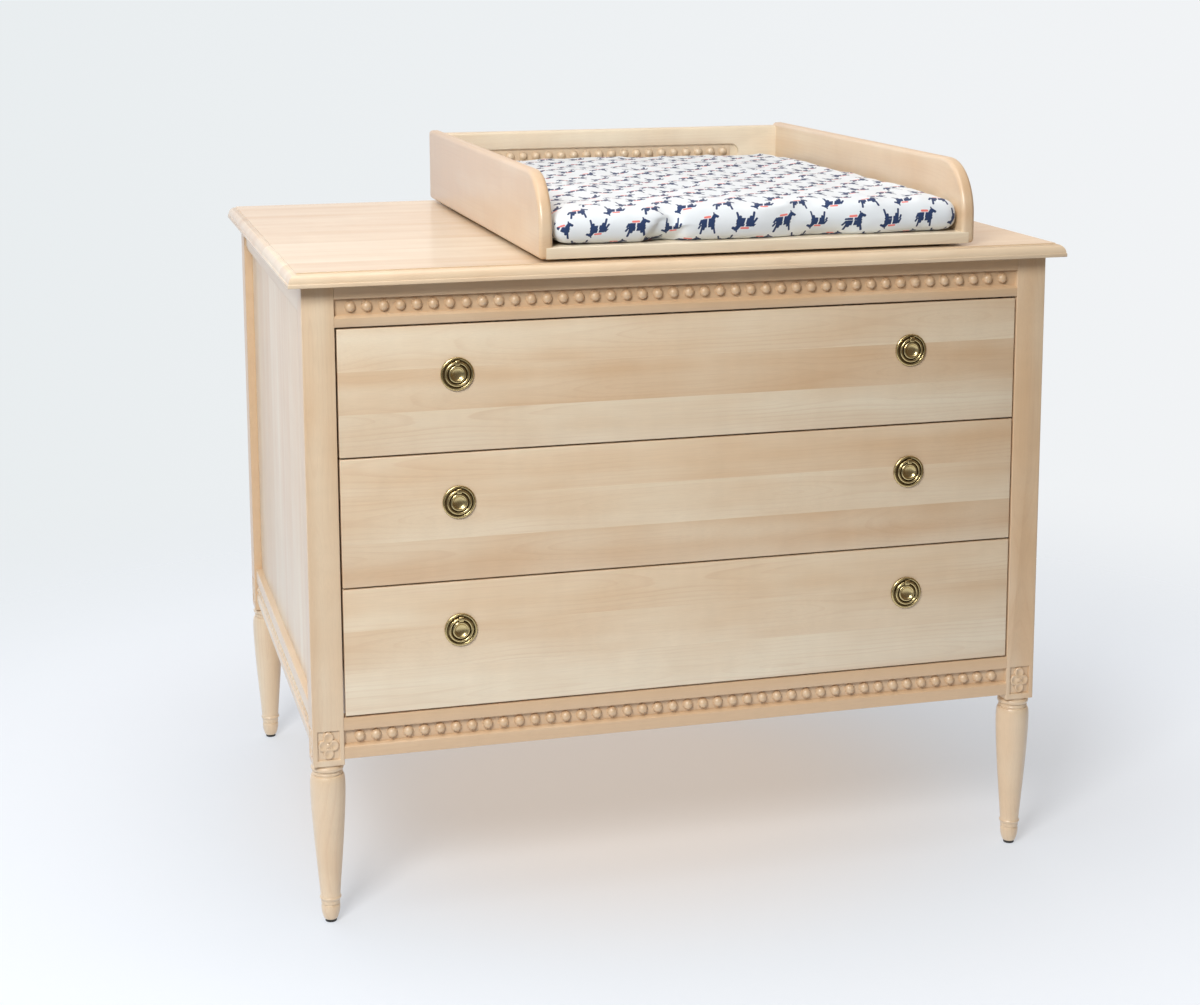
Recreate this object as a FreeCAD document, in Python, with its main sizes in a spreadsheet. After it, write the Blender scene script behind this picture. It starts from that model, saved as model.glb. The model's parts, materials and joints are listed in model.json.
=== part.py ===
import FreeCAD, Part

# Changing table: a three-drawer dresser on turned legs with a lift-off changing tray and mat.
#
# Millimetres. +X is to the right, +Y to the back, +Z up. The origin is on the floor, under the
# middle of the top board, and the drawers open towards -Y.

import os

import Sketcher

# ---------------------------------------------------------------- driving dimensions
SIZES = {
    # carcase
    "carcase_width": 1000.0,
    "carcase_depth": 746.0,
    "leg_height": 217.0,
    "leg_foot_height": 20.0,
    "leg_ankle_height": 7.5,
    "leg_ring_height": 7.0,
    "leg_swell_height": 48.0,
    "leg_neck_height": 13.0,
    "leg_collar_height": 5.0,
    "leg_cap_height": 10.0,
    "leg_foot_radius": 8.9,
    "leg_ankle_radius": 12.3,
    "leg_ring_radius": 14.0,
    "leg_vase_radius": 22.7,
    "leg_neck_radius": 19.4,
    "leg_cap_radius": 20.2,
    "leg_groove": 0.8,
    "post_size": 40.5,
    "post_length": 621.0,
    "top_thick": 18.0,
    "front_overhang": 26.0,
    "side_overhang": 18.5,
    "rear_overhang": 14.0,
    "edge_inset": 12.0,
    "edge_step": 1.5,
    "edge_lip": 5.0,
    "edge_lip_proud": 1.0,
    # rails and panels
    "rail_thick": 22.0,
    "rail_height": 54.3,
    "rail_rise": 8.0,
    "top_rail_foot": 14.0,
    "top_bead_field": 21.5,
    "bottom_rail_foot": 18.0,
    "bottom_bead_field": 20.0,
    "channel_depth": 8.0,
    "channel_lip": 3.0,
    "side_setback": 3.0,
    "side_rail_height": 52.0,
    "side_rail_rise": 15.0,
    "side_rail_foot": 14.0,
    "side_bead_field": 18.0,
    "cove_level": 11.0,
    "cove_step": 1.5,
    "side_panel_recess": 12.0,
    "panel_thick": 8.0,
    "rear_rail_height": 60.0,
    # bead mouldings
    "bead_size": 14.0,
    "bead_pitch": 20.9,
    "bead_base": 2.0,
    # rosettes
    "rosette_wide": 28.0,
    "rosette_high": 38.5,
    "rosette_sunk": 3.0,
    "rosette_lift": 8.0,
    "petal_size": 13.5,
    # drawers
    "front_thick": 20.0,
    "front_gap": 2.5,
    "lower_front_height": 165.7,
    "box_board": 12.0,
    "box_lift": 14.0,
    "box_headroom": 29.7,
    "box_rear_gap": 106.0,
    "bottom_thick": 6.0,
    "divider_depth": 60.0,
    "divider_thick": 20.0,
    "divider_gap": 3.0,
    "runner_thick": 20.0,
    "runner_height": 60.0,
    # ball-bearing slides
    "slide_width": 12.8,
    "slide_height": 45.0,
    "slide_rear_gap": 20.0,
    "slide_sheet": 1.4,
    "slide_gap": 0.5,
    # pulls
    "plate_radius": 21.5,
    "plate_thick": 1.5,
    "rim_radius": 1.9,
    "boss_radius": 11.0,
    "boss_height": 5.6,
    "dish_radius": 8.6,
    "dish_depth": 2.2,
    "ring_radius": 14.5,
    "ring_wire": 1.8,
    "ring_gap": 0.4,
    "lug_wide": 6.5,
    "lug_radius": 3.4,
    "lug_bore": 2.3,
    "pull_inset": 152.8,
    "pull_drop": 63.0,
    # changing tray
    "tray_left": 299.0,
    "tray_width": 592.0,
    "tray_depth": 758.0,
    "tray_front": 10.0,
    "tray_board": 18.0,
    "tray_height": 108.0,
    "tray_corner": 72.0,
    "tray_plate": 15.0,
    "tray_rabbet": 9.0,
    "tray_back_drop": 4.0,
    "tray_panel_wide": 427.0,
    "tray_panel_high": 25.0,
    "tray_panel_low": 51.0,
    "tray_panel_sunk": 8.0,
    "pad_radius": 10.0,
    "pad_thick": 3.5,
    "pad_inset": 30.0,
    # changing mat
    "mat_thick": 46.0,
    "mat_gap": 0.4,
    "mat_rear_gap": 1.5,
    "mat_setback": 6.0,
    "mat_round": 14.0,
    # fasteners and fits
    "glide_radius": 7.5,
    "glide_height": 4.0,
    "bolt_radius": 4.0,
    "bolt_length": 70.0,
    "screw_radius": 2.0,
    "screw_head_radius": 4.0,
    "screw_head_thick": 2.5,
    "screw_length": 36.0,
    "screw_bite": 11.0,
    "bore_fit": 0.05,
    "bore_end_gap": 1.0,
}

DRAWERS = (1, 2, 3)     # counted from the top
FRONT, LEFT, REAR, RIGHT = "front", "left", "rear", "right"

doc = FreeCAD.newDocument("ChangingTable")
sheet = doc.addObject("Spreadsheet::Sheet", "Sizes")
for row, (alias, number) in enumerate(SIZES.items(), start=1):
    sheet.set(f"A{row}", alias)
    sheet.set(f"B{row}", str(number))
    sheet.setAlias(f"B{row}", alias)
doc.recompute()


class Size:
    """A number together with the spreadsheet formula that it comes from."""

    def __init__(self, value, formula):
        self.value = value
        self.formula = formula

    def join(self, sign, other, value):
        return Size(value, f"({self.formula} {sign} {as_size(other).formula})")

    def __add__(self, other):
        return self.join("+", other, self.value + as_size(other).value)

    def __sub__(self, other):
        return self.join("-", other, self.value - as_size(other).value)

    def __mul__(self, other):
        return self.join("*", other, self.value * as_size(other).value)

    def __truediv__(self, other):
        return self.join("/", other, self.value / as_size(other).value)

    def __radd__(self, other):
        return as_size(other) + self

    def __rsub__(self, other):
        return as_size(other) - self

    def __rmul__(self, other):
        return as_size(other) * self

    def __neg__(self):
        return Size(-self.value, f"(0 - {self.formula})")


def as_size(number):
    return number if isinstance(number, Size) else Size(float(number), repr(float(number)))


class Sizes:
    """Every driving dimension as a Size, by its name."""


s = Sizes()
for alias in SIZES:
    setattr(s, alias, Size(float(getattr(sheet, alias)), f"Sizes.{alias}"))

# ---------------------------------------------------------------- levels and faces worked out
left_face = -s.carcase_width / 2
right_face = s.carcase_width / 2
top_depth = s.front_overhang + s.carcase_depth + s.rear_overhang
front_face = s.front_overhang - top_depth / 2
rear_face = front_face + s.carcase_depth
post_bottom = s.leg_height
post_top = s.leg_height + s.post_length
worktop = post_top + s.top_thick
bay_width = s.carcase_width - 2 * s.post_size
bay_depth = s.carcase_depth - 2 * s.post_size
bay_bottom = post_bottom + s.rail_rise + s.rail_height
bay_top = post_top - s.rail_height
front_width = bay_width - 2 * s.front_gap
top_front_height = bay_top - bay_bottom - 4 * s.front_gap - 2 * s.lower_front_height
box_width = bay_width - 2 * s.slide_width
box_depth = s.carcase_depth - s.front_thick - s.box_rear_gap
slide_length = box_depth - s.slide_rear_gap


def front_bottom_level(number):
    """Height of the lower edge of a drawer's front."""
    steps = len(DRAWERS) - number
    return bay_bottom + s.front_gap + steps * (s.lower_front_height + s.front_gap)


def front_height(number):
    return top_front_height if number == 1 else s.lower_front_height


def box_height(number):
    return front_height(number) - s.box_lift - s.box_headroom


# ---------------------------------------------------------------- building blocks
def bind(obj, path, size):
    obj.setExpression(path, as_size(size).formula)


def place(obj, x, y, z):
    for axis, size in zip("xyz", (x, y, z)):
        bind(obj, f"Placement.Base.{axis}", size)
    return obj


TURN = {FRONT: 0, LEFT: -90, REAR: 180, RIGHT: 90}


def stand(obj, face, along, inward, height):
    """Place a piece drawn as a front piece (+X along, +Y inward) on a face of the carcase."""
    obj.Placement = FreeCAD.Placement(FreeCAD.Vector(), FreeCAD.Rotation(FreeCAD.Vector(0, 0, 1), TURN[face]))
    spot = {
        FRONT: (left_face + along, front_face + inward),
        LEFT: (left_face + inward, rear_face - along),
        REAR: (right_face - along, rear_face - inward),
        RIGHT: (right_face - inward, front_face + along),
    }[face]
    return place(obj, *spot, height)


def box(name, dx, dy, dz):
    obj = doc.addObject("Part::Box", name)
    for prop, size in zip(("Length", "Width", "Height"), (dx, dy, dz)):
        bind(obj, prop, size)
    return obj


def cylinder(name, radius, height, axis=None):
    obj = doc.addObject("Part::Cylinder", name)
    bind(obj, "Radius", radius)
    bind(obj, "Height", height)
    if axis:
        turn = FreeCAD.Rotation(FreeCAD.Vector(0, 0, 1), FreeCAD.Vector(*axis))
        obj.Placement = FreeCAD.Placement(FreeCAD.Vector(), turn)
    return obj


def cut(name, base, tools):
    obj = doc.addObject("Part::Cut", name)
    obj.Base = base
    obj.Tool = tools[0] if len(tools) == 1 else group(name + "_tools", tools)
    return obj


def fuse(name, pieces):
    obj = doc.addObject("Part::MultiFuse", name)
    obj.Shapes = pieces
    return obj


def group(name, pieces):
    """Identical pieces that share one node, as separate solids."""
    obj = doc.addObject("Part::Compound", name)
    obj.Links = pieces
    return obj


def outline(body, role, corners):
    """A closed sketch on an origin plane of the body.

    A corner is (u, v), or (u, v, centre_u, centre_v) when an arc of less than half a turn runs
    on to the next corner.
    """
    sketch = body.newObject("Sketcher::SketchObject", body.Name + "_outline")
    plane = next(item for item in body.Origin.OriginFeatures if item.Role == role)
    sketch.AttachmentSupport = [(plane, "")]
    sketch.MapMode = "FlatFace"
    spans = []
    for corner, after in zip(corners, corners[1:] + corners[:1]):
        spans.append(add_edge(sketch, [as_size(c) for c in corner], [as_size(c) for c in after[:2]]))
    for (start, _), corner in zip(spans, corners):
        pin_point(sketch, start, corner[0], "DistanceX")
        pin_point(sketch, start, corner[1], "DistanceY")
    for (_, end), (start, _) in zip(spans, spans[1:] + spans[:1]):
        sketch.addConstraint(Sketcher.Constraint("Coincident", *end, *start))
    return sketch


def add_edge(sketch, corner, after):
    """A line or an arc; gives its start and end as (geometry, point) pairs."""
    start = FreeCAD.Vector(corner[0].value, corner[1].value)
    end = FreeCAD.Vector(after[0].value, after[1].value)
    if len(corner) == 2:
        edge = sketch.addGeometry(Part.LineSegment(start, end), False)
        return (edge, 1), (edge, 2)
    centre = FreeCAD.Vector(corner[2].value, corner[3].value)
    circle = Part.Circle(centre, FreeCAD.Vector(0, 0, 1), centre.distanceToPoint(start))
    anticlockwise = (start - centre).cross(end - centre).z > 0
    first, last = (start, end) if anticlockwise else (end, start)
    edge = sketch.addGeometry(
        Part.ArcOfCircle(circle, circle.parameter(first), circle.parameter(last)), False)
    chord = end - start
    if abs(chord.y) >= abs(chord.x):
        pin_point(sketch, (edge, 3), corner[2], "DistanceX")
    else:
        pin_point(sketch, (edge, 3), corner[3], "DistanceY")
    return ((edge, 1), (edge, 2)) if anticlockwise else ((edge, 2), (edge, 1))


def pin_point(sketch, point, size, kind):
    size = as_size(size)
    index = sketch.addConstraint(Sketcher.Constraint(kind, -1, 1, *point, size.value))
    bind(sketch, f"Constraints[{index}]", size)


def moulding(name, corners, length):
    """A length of moulding: its section (depth, height) pushed along +X."""
    body = doc.addObject("PartDesign::Body", name)
    pad = body.newObject("PartDesign::Pad", name + "_pad")
    pad.Profile = outline(body, "YZ_Plane", corners)
    bind(pad, "Length", length)
    return body


def turning(name, corners):
    """A turned piece: its half section (radius, height) spun about the upright axis."""
    body = doc.addObject("PartDesign::Body", name)
    sketch = outline(body, "XZ_Plane", corners)
    spin = body.newObject("PartDesign::Revolution", name + "_spin")
    spin.Profile = sketch
    spin.ReferenceAxis = (sketch, ["V_Axis"])
    spin.Angle = 360
    return body


def bead_strip(name, length, height):
    """A flat base with a row of half-round beads, centred on its length."""
    body = doc.addObject("PartDesign::Body", name)
    base = body.newObject("PartDesign::Pad", name + "_base")
    base.Profile = outline(body, "YZ_Plane", [
        (0, 0), (s.bead_base, 0), (s.bead_base, height), (0, height)])
    bind(base, "Length", length)
    bead = body.newObject("PartDesign::AdditiveSphere", name + "_bead")
    bind(bead, "Radius", s.bead_size / 2)
    bead.Angle1 = 0
    bead.Angle2 = 90
    count = Size(float(round((length.value - s.bead_size.value) / s.bead_pitch.value)),
                 f"round(({length.formula} - Sizes.bead_size) / Sizes.bead_pitch)")
    span = (count - 1) * s.bead_pitch
    bead.AttachmentOffset = FreeCAD.Placement(
        FreeCAD.Vector(), FreeCAD.Rotation(FreeCAD.Vector(0, 0, 1), FreeCAD.Vector(0, -1, 0)))
    plane = next(item for item in body.Origin.OriginFeatures if item.Role == "XY_Plane")
    bead.AttachmentSupport = [(plane, "")]
    bead.MapMode = "FlatFace"
    bind(bead, "AttachmentOffset.Base.x", (length - span) / 2)
    bind(bead, "AttachmentOffset.Base.z", height / 2)
    row_of_beads = body.newObject("PartDesign::LinearPattern", name + "_row")
    row_of_beads.Originals = [bead]
    x_axis = next(item for item in body.Origin.OriginFeatures if item.Role == "X_Axis")
    row_of_beads.Direction = (x_axis, [""])
    bind(row_of_beads, "Length", span)
    bind(row_of_beads, "Occurrences", count)
    body.Tip = row_of_beads
    return body


NODES = []


def node(obj):
    """Mark an object as a finished sub-part that is written out under its own name."""
    NODES.append(obj)
    return obj


# ---------------------------------------------------------------- carcase
# Each post: its corner, and the faces with a rosette, with where the post starts along each face.
front_end = s.carcase_width - s.post_size
side_end = s.carcase_depth - s.post_size
POSTS = {
    "post_front_left": (left_face, front_face, {FRONT: 0, LEFT: side_end}),
    "post_front_right": (right_face - s.post_size, front_face, {FRONT: front_end, RIGHT: 0}),
    "post_rear_left": (left_face, rear_face - s.post_size, {LEFT: 0}),
    "post_rear_right": (right_face - s.post_size, rear_face - s.post_size, {RIGHT: side_end}),
}
rosette_margin = (s.post_size - s.rosette_wide) / 2


def make_posts():
    bore = s.bolt_radius + s.bore_fit
    for name, (x, y, faces) in POSTS.items():
        blank = place(box(name + "_blank", s.post_size, s.post_size, s.post_length), x, y, post_bottom)
        hole = cylinder(name + "_hole", bore, s.bolt_length / 2 + s.bore_end_gap)
        place(hole, x + s.post_size / 2, y + s.post_size / 2, post_bottom)
        tools = [hole]
        for face, start in faces.items():
            pocket = box(f"{name}_{face}_pocket", s.rosette_wide, s.rosette_sunk, s.rosette_high)
            tools.append(stand(pocket, face, start + rosette_margin, 0, post_bottom + s.rosette_lift))
        node(cut(name, blank, tools))


def make_rosettes():
    """Four petals about a round button, standing on the floor of each sunk panel."""
    rosettes = []
    middle = post_bottom + s.rosette_lift + s.rosette_high / 2
    across = (s.rosette_wide - s.petal_size) / 2
    up = (s.rosette_high - s.petal_size) / 2
    for name, (_, _, faces) in POSTS.items():
        for face, start in faces.items():
            centre = start + s.post_size / 2
            petals = []
            for index, (du, dv) in enumerate(((across, 0), (0, up), (-across, 0), (0, -up), (0, 0))):
                petal = box(f"{name}_{face}_petal_{index}", s.petal_size, s.rosette_sunk, s.petal_size)
                petals.append(stand(petal, face, centre + du - s.petal_size / 2, 0,
                                    middle + dv - s.petal_size / 2))
            rosettes.append(fuse(f"rosette_{name}_{face}", petals))
    node(group("rosettes", rosettes))


def make_legs():
    """Turned and tapering, with a cap disc, a collar, a long vase and a ring above the foot."""
    foot = s.glide_height
    ankle = foot + s.leg_foot_height
    ring = ankle + s.leg_ankle_height
    shin = ring + s.leg_ring_height
    cap = s.leg_height - s.leg_cap_height
    collar = cap - s.leg_collar_height
    vase = collar - s.leg_neck_height
    swell = vase - s.leg_swell_height
    groove = s.leg_groove
    bore = s.bolt_radius + s.bore_fit
    bore_end = s.leg_height - s.bolt_length / 2 - s.bore_end_gap
    widest = s.leg_vase_radius
    corners = [
        (0, foot), (s.leg_foot_radius, foot), (s.leg_ankle_radius, ankle),
        (s.leg_ankle_radius - groove, ankle + groove), (s.leg_ankle_radius, ankle + 2 * groove),
        (s.leg_ankle_radius, ring), (s.leg_ring_radius, ring + groove),
        (s.leg_ring_radius, shin - 3 * groove), (s.leg_ankle_radius + groove, shin),
        (widest - 2 * groove, swell), (widest - groove / 2, (swell + vase) / 2),
        (widest, vase), (widest - 2 * groove, collar - groove), (s.leg_neck_radius - groove, collar),
        (s.leg_neck_radius, collar + groove), (s.leg_neck_radius, cap - groove),
        (s.leg_neck_radius - groove, cap), (s.leg_cap_radius, cap + s.leg_cap_height / 2),
        (s.leg_cap_radius, s.leg_height), (bore, s.leg_height), (bore, bore_end), (0, bore_end)]
    legs = []
    for name, (x, y, _) in POSTS.items():
        leg = turning(name.replace("post", "leg"), corners)
        place(leg, x + s.post_size / 2, y + s.post_size / 2, 0)
        legs.append(leg)
    node(group("legs", legs))


def make_glides_and_bolts():
    glides = []
    bolts = []
    for name, (x, y, _) in POSTS.items():
        centre = (x + s.post_size / 2, y + s.post_size / 2)
        glides.append(place(cylinder(name + "_glide", s.glide_radius, s.glide_height), *centre, 0))
        bolt = cylinder(name + "_bolt", s.bolt_radius, s.bolt_length)
        bolts.append(place(bolt, *centre, s.leg_height - s.bolt_length / 2))
    node(group("glides", glides))
    node(group("leg_bolts", bolts))


def top_screw_spots():
    """Where the screws stand that hold the top board, clear of the bead channel."""
    front_row = front_face + (s.channel_depth + s.rail_thick) / 2
    rear_row = rear_face - s.rail_thick / 2
    return [(x, y) for y in (front_row, rear_row)
            for x in (-s.carcase_width / 4, 0, s.carcase_width / 4)]


def screw_holes(name, row, head_level, length):
    """Counterbored holes from below, one for each screw of the front or the rear row."""
    holes = []
    for index, (x, y) in enumerate(top_screw_spots()[3 * row:3 * row + 3]):
        bore = cylinder(f"{name}_bore_{index}", s.screw_radius + s.bore_fit, length)
        holes.append(place(bore, x, y, head_level))
        sink = cylinder(f"{name}_sink_{index}", s.screw_head_radius + s.bore_fit, s.rail_height)
        holes.append(place(sink, x, y, head_level - s.rail_height))
    return holes


screw_seat = post_top + s.screw_bite - s.screw_length


def make_top_screws():
    screws = []
    for index, (x, y) in enumerate(top_screw_spots()):
        shank = place(cylinder(f"top_screw_{index}_shank", s.screw_radius, s.screw_length), x, y, screw_seat)
        head = cylinder(f"top_screw_{index}_head", s.screw_head_radius, s.screw_head_thick)
        place(head, x, y, screw_seat - s.screw_head_thick)
        screws.append(fuse(f"top_screw_{index}", [shank, head]))
    node(group("top_screws", screws))


def make_top_board():
    """A board whose edge steps down, rounds over and ends in a thin lip."""
    width = s.carcase_width + 2 * s.side_overhang
    inset = s.edge_lip_proud
    slab = place(box("top_slab", width, top_depth, s.edge_lip), -width / 2, -top_depth / 2, post_top)
    round_height = s.top_thick - s.edge_lip - s.edge_step
    middle = box("top_round_blank", width - 2 * inset, top_depth - 2 * inset, round_height)
    place(middle, inset - width / 2, inset - top_depth / 2, post_top + s.edge_lip)
    rounded = doc.addObject("Part::Fillet", "top_round")
    rounded.Base = middle
    doc.recompute()
    radius = min(s.edge_inset.value, round_height.value) - inset.value
    upper = [index + 1 for index, edge in enumerate(middle.Shape.Edges)
             if abs(edge.BoundBox.ZMin - middle.Shape.BoundBox.ZMax) < 1e-6]
    rounded.Edges = [(index, radius, radius) for index in upper]
    field = box("top_field", width - 2 * s.edge_inset, top_depth - 2 * s.edge_inset, s.edge_step)
    place(field, s.edge_inset - width / 2, s.edge_inset - top_depth / 2, worktop - s.edge_step)
    blank = fuse("top_blank", [slab, rounded, field])
    holes = []
    for index, (x, y) in enumerate(top_screw_spots()):
        hole = cylinder(f"top_board_hole_{index}", s.screw_radius + s.bore_fit,
                        s.screw_bite + s.bore_end_gap)
        holes.append(place(hole, x, y, post_top))
    node(cut("top_board", blank, holes))


def channel_section(height, foot, field, thick):
    """Section of a rail with a channel for a bead strip; the lower lip is chamfered."""
    deep = s.channel_depth
    lip = s.channel_lip
    return [(0, 0), (thick, 0), (thick, height), (0, height), (0, foot + field),
            (deep, foot + field), (deep, foot), (lip, foot), (0, foot - lip)]


def make_front_rails():
    for name, foot, field, level in (
            ("top", s.top_rail_foot, s.top_bead_field, bay_top),
            ("bottom", s.bottom_rail_foot, s.bottom_bead_field, post_bottom + s.rail_rise)):
        section = channel_section(s.rail_height, foot, field, s.rail_thick)
        if name == "top":
            blank = stand(moulding("front_top_rail_blank", section, bay_width), FRONT, s.post_size, 0, level)
            node(cut("front_top_rail", blank, screw_holes("front_top", 0, screw_seat, s.screw_length)))
        else:
            node(stand(moulding("front_bottom_rail", section, bay_width), FRONT, s.post_size, 0, level))
        beads = bead_strip(f"front_{name}_beads", bay_width, field)
        node(stand(beads, FRONT, s.post_size, s.channel_depth - s.bead_base, level + foot))


def make_side_rails():
    """Top rails with a coved lower edge over the panel; bottom rails with a bead channel."""
    thick = s.side_panel_recess + s.panel_thick - s.side_setback
    reach = s.side_panel_recess - s.side_setback
    height = s.side_rail_height
    step = s.cove_step
    beads = []
    for face in (LEFT, RIGHT):
        top_section = [
            (reach, 0), (thick, 0), (thick, height), (0, height), (0, s.cove_level + step),
            (step, s.cove_level + step), (step, s.cove_level, reach, s.cove_level),
            (reach, s.cove_level + step - reach)]
        rail = moulding(f"{face}_top_rail", top_section, bay_depth)
        node(stand(rail, face, s.post_size, s.side_setback, post_top - height))
        section = channel_section(height, s.side_rail_foot, s.side_bead_field, thick)
        rail = moulding(f"{face}_bottom_rail", section, bay_depth)
        node(stand(rail, face, s.post_size, s.side_setback, post_bottom + s.side_rail_rise))
        strip = bead_strip(f"{face}_beads", bay_depth, s.side_bead_field)
        inward = s.side_setback + s.channel_depth - s.bead_base
        beads.append(stand(strip, face, s.post_size, inward,
                           post_bottom + s.side_rail_rise + s.side_rail_foot))
        panel_low = post_bottom + s.side_rail_rise + height
        panel = box(f"{face}_panel", bay_depth, s.panel_thick, post_top - height - panel_low)
        node(stand(panel, face, s.post_size, s.side_panel_recess, panel_low))
    node(group("side_beads", beads))


def make_back():
    rails = []
    for name, level in (("top", post_top - s.rear_rail_height), ("bottom", post_bottom + s.rail_rise)):
        rail = box(f"rear_{name}_rail", bay_width, s.rail_thick, s.rear_rail_height)
        stand(rail, REAR, s.post_size, 0, level)
        if name == "top":
            rail = cut("rear_top_rail_bored", rail, screw_holes("rear_top", 1, screw_seat, s.screw_length))
        rails.append(rail)
    node(group("rear_rails", rails))
    low = post_bottom + s.rail_rise + s.rear_rail_height
    panel = box("back_panel", bay_width, s.panel_thick, post_top - s.rear_rail_height - low)
    node(stand(panel, REAR, s.post_size, (s.rail_thick - s.panel_thick) / 2, low))


def make_dividers_and_runners():
    dividers = []
    for number in DRAWERS[1:]:
        gap_level = front_bottom_level(number) + front_height(number) + s.front_gap / 2
        divider = box(f"divider_{number}", bay_width, s.divider_depth, s.divider_thick)
        dividers.append(stand(divider, FRONT, s.post_size, s.front_thick + s.divider_gap,
                              gap_level - s.divider_thick / 2))
    node(group("drawer_dividers", dividers))
    runners = []
    for number in DRAWERS:
        level = slide_level(number) + s.slide_height / 2 - s.runner_height / 2
        for face in (LEFT, RIGHT):
            runner = box(f"runner_{face}_{number}", bay_depth, s.runner_thick, s.runner_height)
            inward = s.post_size - s.runner_thick
            runners.append(stand(runner, face, s.post_size, inward, level))
    node(group("runner_rails", runners))


# ---------------------------------------------------------------- drawer slides
def slide_level(number):
    """Lower edge of a slide: centred on the drawer's side board."""
    return front_bottom_level(number) + s.box_lift + (box_height(number) - s.slide_height) / 2


def slide_channel(name, depth, height, opening_left):
    """A rolled channel; the section is drawn as (across, height) and pushed along +X."""
    sheet_thick = s.slide_sheet
    if opening_left:
        corners = [(depth, 0), (depth, height), (0, height), (0, height - sheet_thick),
                   (depth - sheet_thick, height - sheet_thick), (depth - sheet_thick, sheet_thick),
                   (0, sheet_thick), (0, 0)]
    else:
        corners = [(0, 0), (depth, 0), (depth, sheet_thick), (sheet_thick, sheet_thick),
                   (sheet_thick, height - sheet_thick), (depth, height - sheet_thick),
                   (depth, height), (0, height)]
    return moulding(name, corners, slide_length)


def make_slides():
    """Three nested members on each side of each drawer: cabinet, middle and drawer member."""
    step = s.slide_sheet + s.slide_gap
    start = s.front_thick + s.divider_gap
    cabinet = []
    for number in DRAWERS:
        middle = []
        inner = []
        level = slide_level(number)
        for face in (LEFT, RIGHT):
            along = start if face == RIGHT else s.carcase_depth - start - slide_length
            tag = f"{face}_{number}"
            depth = s.slide_width - s.slide_sheet - s.slide_gap
            outer = slide_channel(f"slide_cabinet_{tag}", depth, s.slide_height, False)
            cabinet.append(stand(outer, face, along, s.post_size, level))
            carrier = slide_channel(f"slide_middle_{tag}", depth - step, s.slide_height - 2 * step, False)
            middle.append(stand(carrier, face, along, s.post_size + step, level + step))
            depth_inner = s.slide_width - 2 * step
            runner = slide_channel(f"slide_drawer_{tag}", depth_inner, s.slide_height - 4 * step, True)
            inner.append(stand(runner, face, along, s.post_size + 2 * step, level + 2 * step))
        node(group(f"slide_middle_members_{number}", middle))
        node(group(f"slide_drawer_members_{number}", inner))
    node(group("slide_cabinet_members", cabinet))


# ---------------------------------------------------------------- drawers
def make_drawers():
    board = s.box_board
    box_left = s.post_size + s.slide_width
    for number in DRAWERS:
        level = front_bottom_level(number)
        front = box(f"drawer_{number}_front", front_width, s.front_thick, front_height(number))
        node(stand(front, FRONT, s.post_size + s.front_gap, 0, level))
        base = level + s.box_lift
        sides = []
        for name, along in (("left", box_left), ("right", box_left + box_width - board)):
            side = box(f"drawer_{number}_{name}_side", board, box_depth, box_height(number))
            sides.append(stand(side, FRONT, along, s.front_thick, base))
        node(group(f"drawer_{number}_sides", sides))
        inner_width = box_width - 2 * board
        back = box(f"drawer_{number}_back", inner_width, board, box_height(number))
        node(stand(back, FRONT, box_left + board, s.front_thick + box_depth - board, base))
        floor = box(f"drawer_{number}_bottom", inner_width, box_depth - board, s.bottom_thick)
        node(stand(floor, FRONT, box_left + board, s.front_thick, base))


# ---------------------------------------------------------------- pulls
PULL_SIDES = ("left", "right")


def half_round(outer, inner, level):
    """Corners of a half-round ridge from the outer to the inner radius, as two quarter arcs."""
    middle = (outer + inner) / 2
    crest = level + (outer - inner) / 2
    return [(outer, level, middle, level), (middle, crest, middle, level)]


def pull_plate(name):
    """A round plate with a rolled rim and a dished boss, turned with its face up."""
    rim_inner = s.plate_radius - 2 * s.rim_radius
    shoulder = s.boss_height - (s.boss_radius - s.dish_radius) / 2
    dish_floor = s.boss_height - s.dish_depth
    return turning(name + "_turned", [
        (0, 0), (s.plate_radius, 0),
        *half_round(s.plate_radius, rim_inner, s.plate_thick), (rim_inner, s.plate_thick),
        (s.boss_radius, s.plate_thick),
        *half_round(s.boss_radius, s.dish_radius, shoulder), (s.dish_radius, shoulder),
        (s.dish_radius / 2, dish_floor), (0, dish_floor)])


def make_pulls():
    ring_level = s.plate_thick + s.ring_gap + s.ring_wire
    forward = FreeCAD.Rotation(FreeCAD.Vector(1, 0, 0), 90)
    for number in DRAWERS:
        height = front_bottom_level(number) + front_height(number) - s.pull_drop
        plates = []
        for side in PULL_SIDES:
            name = f"pull_{side}_{number}"
            offset = s.post_size + s.pull_inset
            x = left_face + offset if side == "left" else right_face - offset
            plate = pull_plate(name)
            plate.Placement = FreeCAD.Placement(FreeCAD.Vector(), forward)
            place(plate, x, front_face, height)
            lug = cylinder(name + "_lug", s.lug_radius, s.lug_wide, (1, 0, 0))
            place(lug, x - s.lug_wide / 2, front_face - ring_level, height + s.ring_radius)
            foot = box(name + "_lug_foot", s.lug_wide, ring_level - s.plate_thick / 2, 2 * s.lug_radius)
            place(foot, x - s.lug_wide / 2, front_face - ring_level,
                  height + s.ring_radius - s.lug_radius)
            bore = cylinder(name + "_bore", s.lug_bore, s.lug_wide + 2 * s.bore_end_gap, (1, 0, 0))
            place(bore, x - s.lug_wide / 2 - s.bore_end_gap, front_face - ring_level,
                  height + s.ring_radius)
            whole = fuse(name + "_whole", [plate, lug, foot])
            plates.append(cut(name + "_plate", whole, [bore]))
            ring = doc.addObject("Part::Torus", f"ring_{side}_{number}")
            bind(ring, "Radius1", s.ring_radius)
            bind(ring, "Radius2", s.ring_wire)
            ring.Placement = FreeCAD.Placement(FreeCAD.Vector(), forward)
            node(place(ring, x, front_face - ring_level, height))
        node(group(f"pull_plates_{number}", plates))


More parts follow.
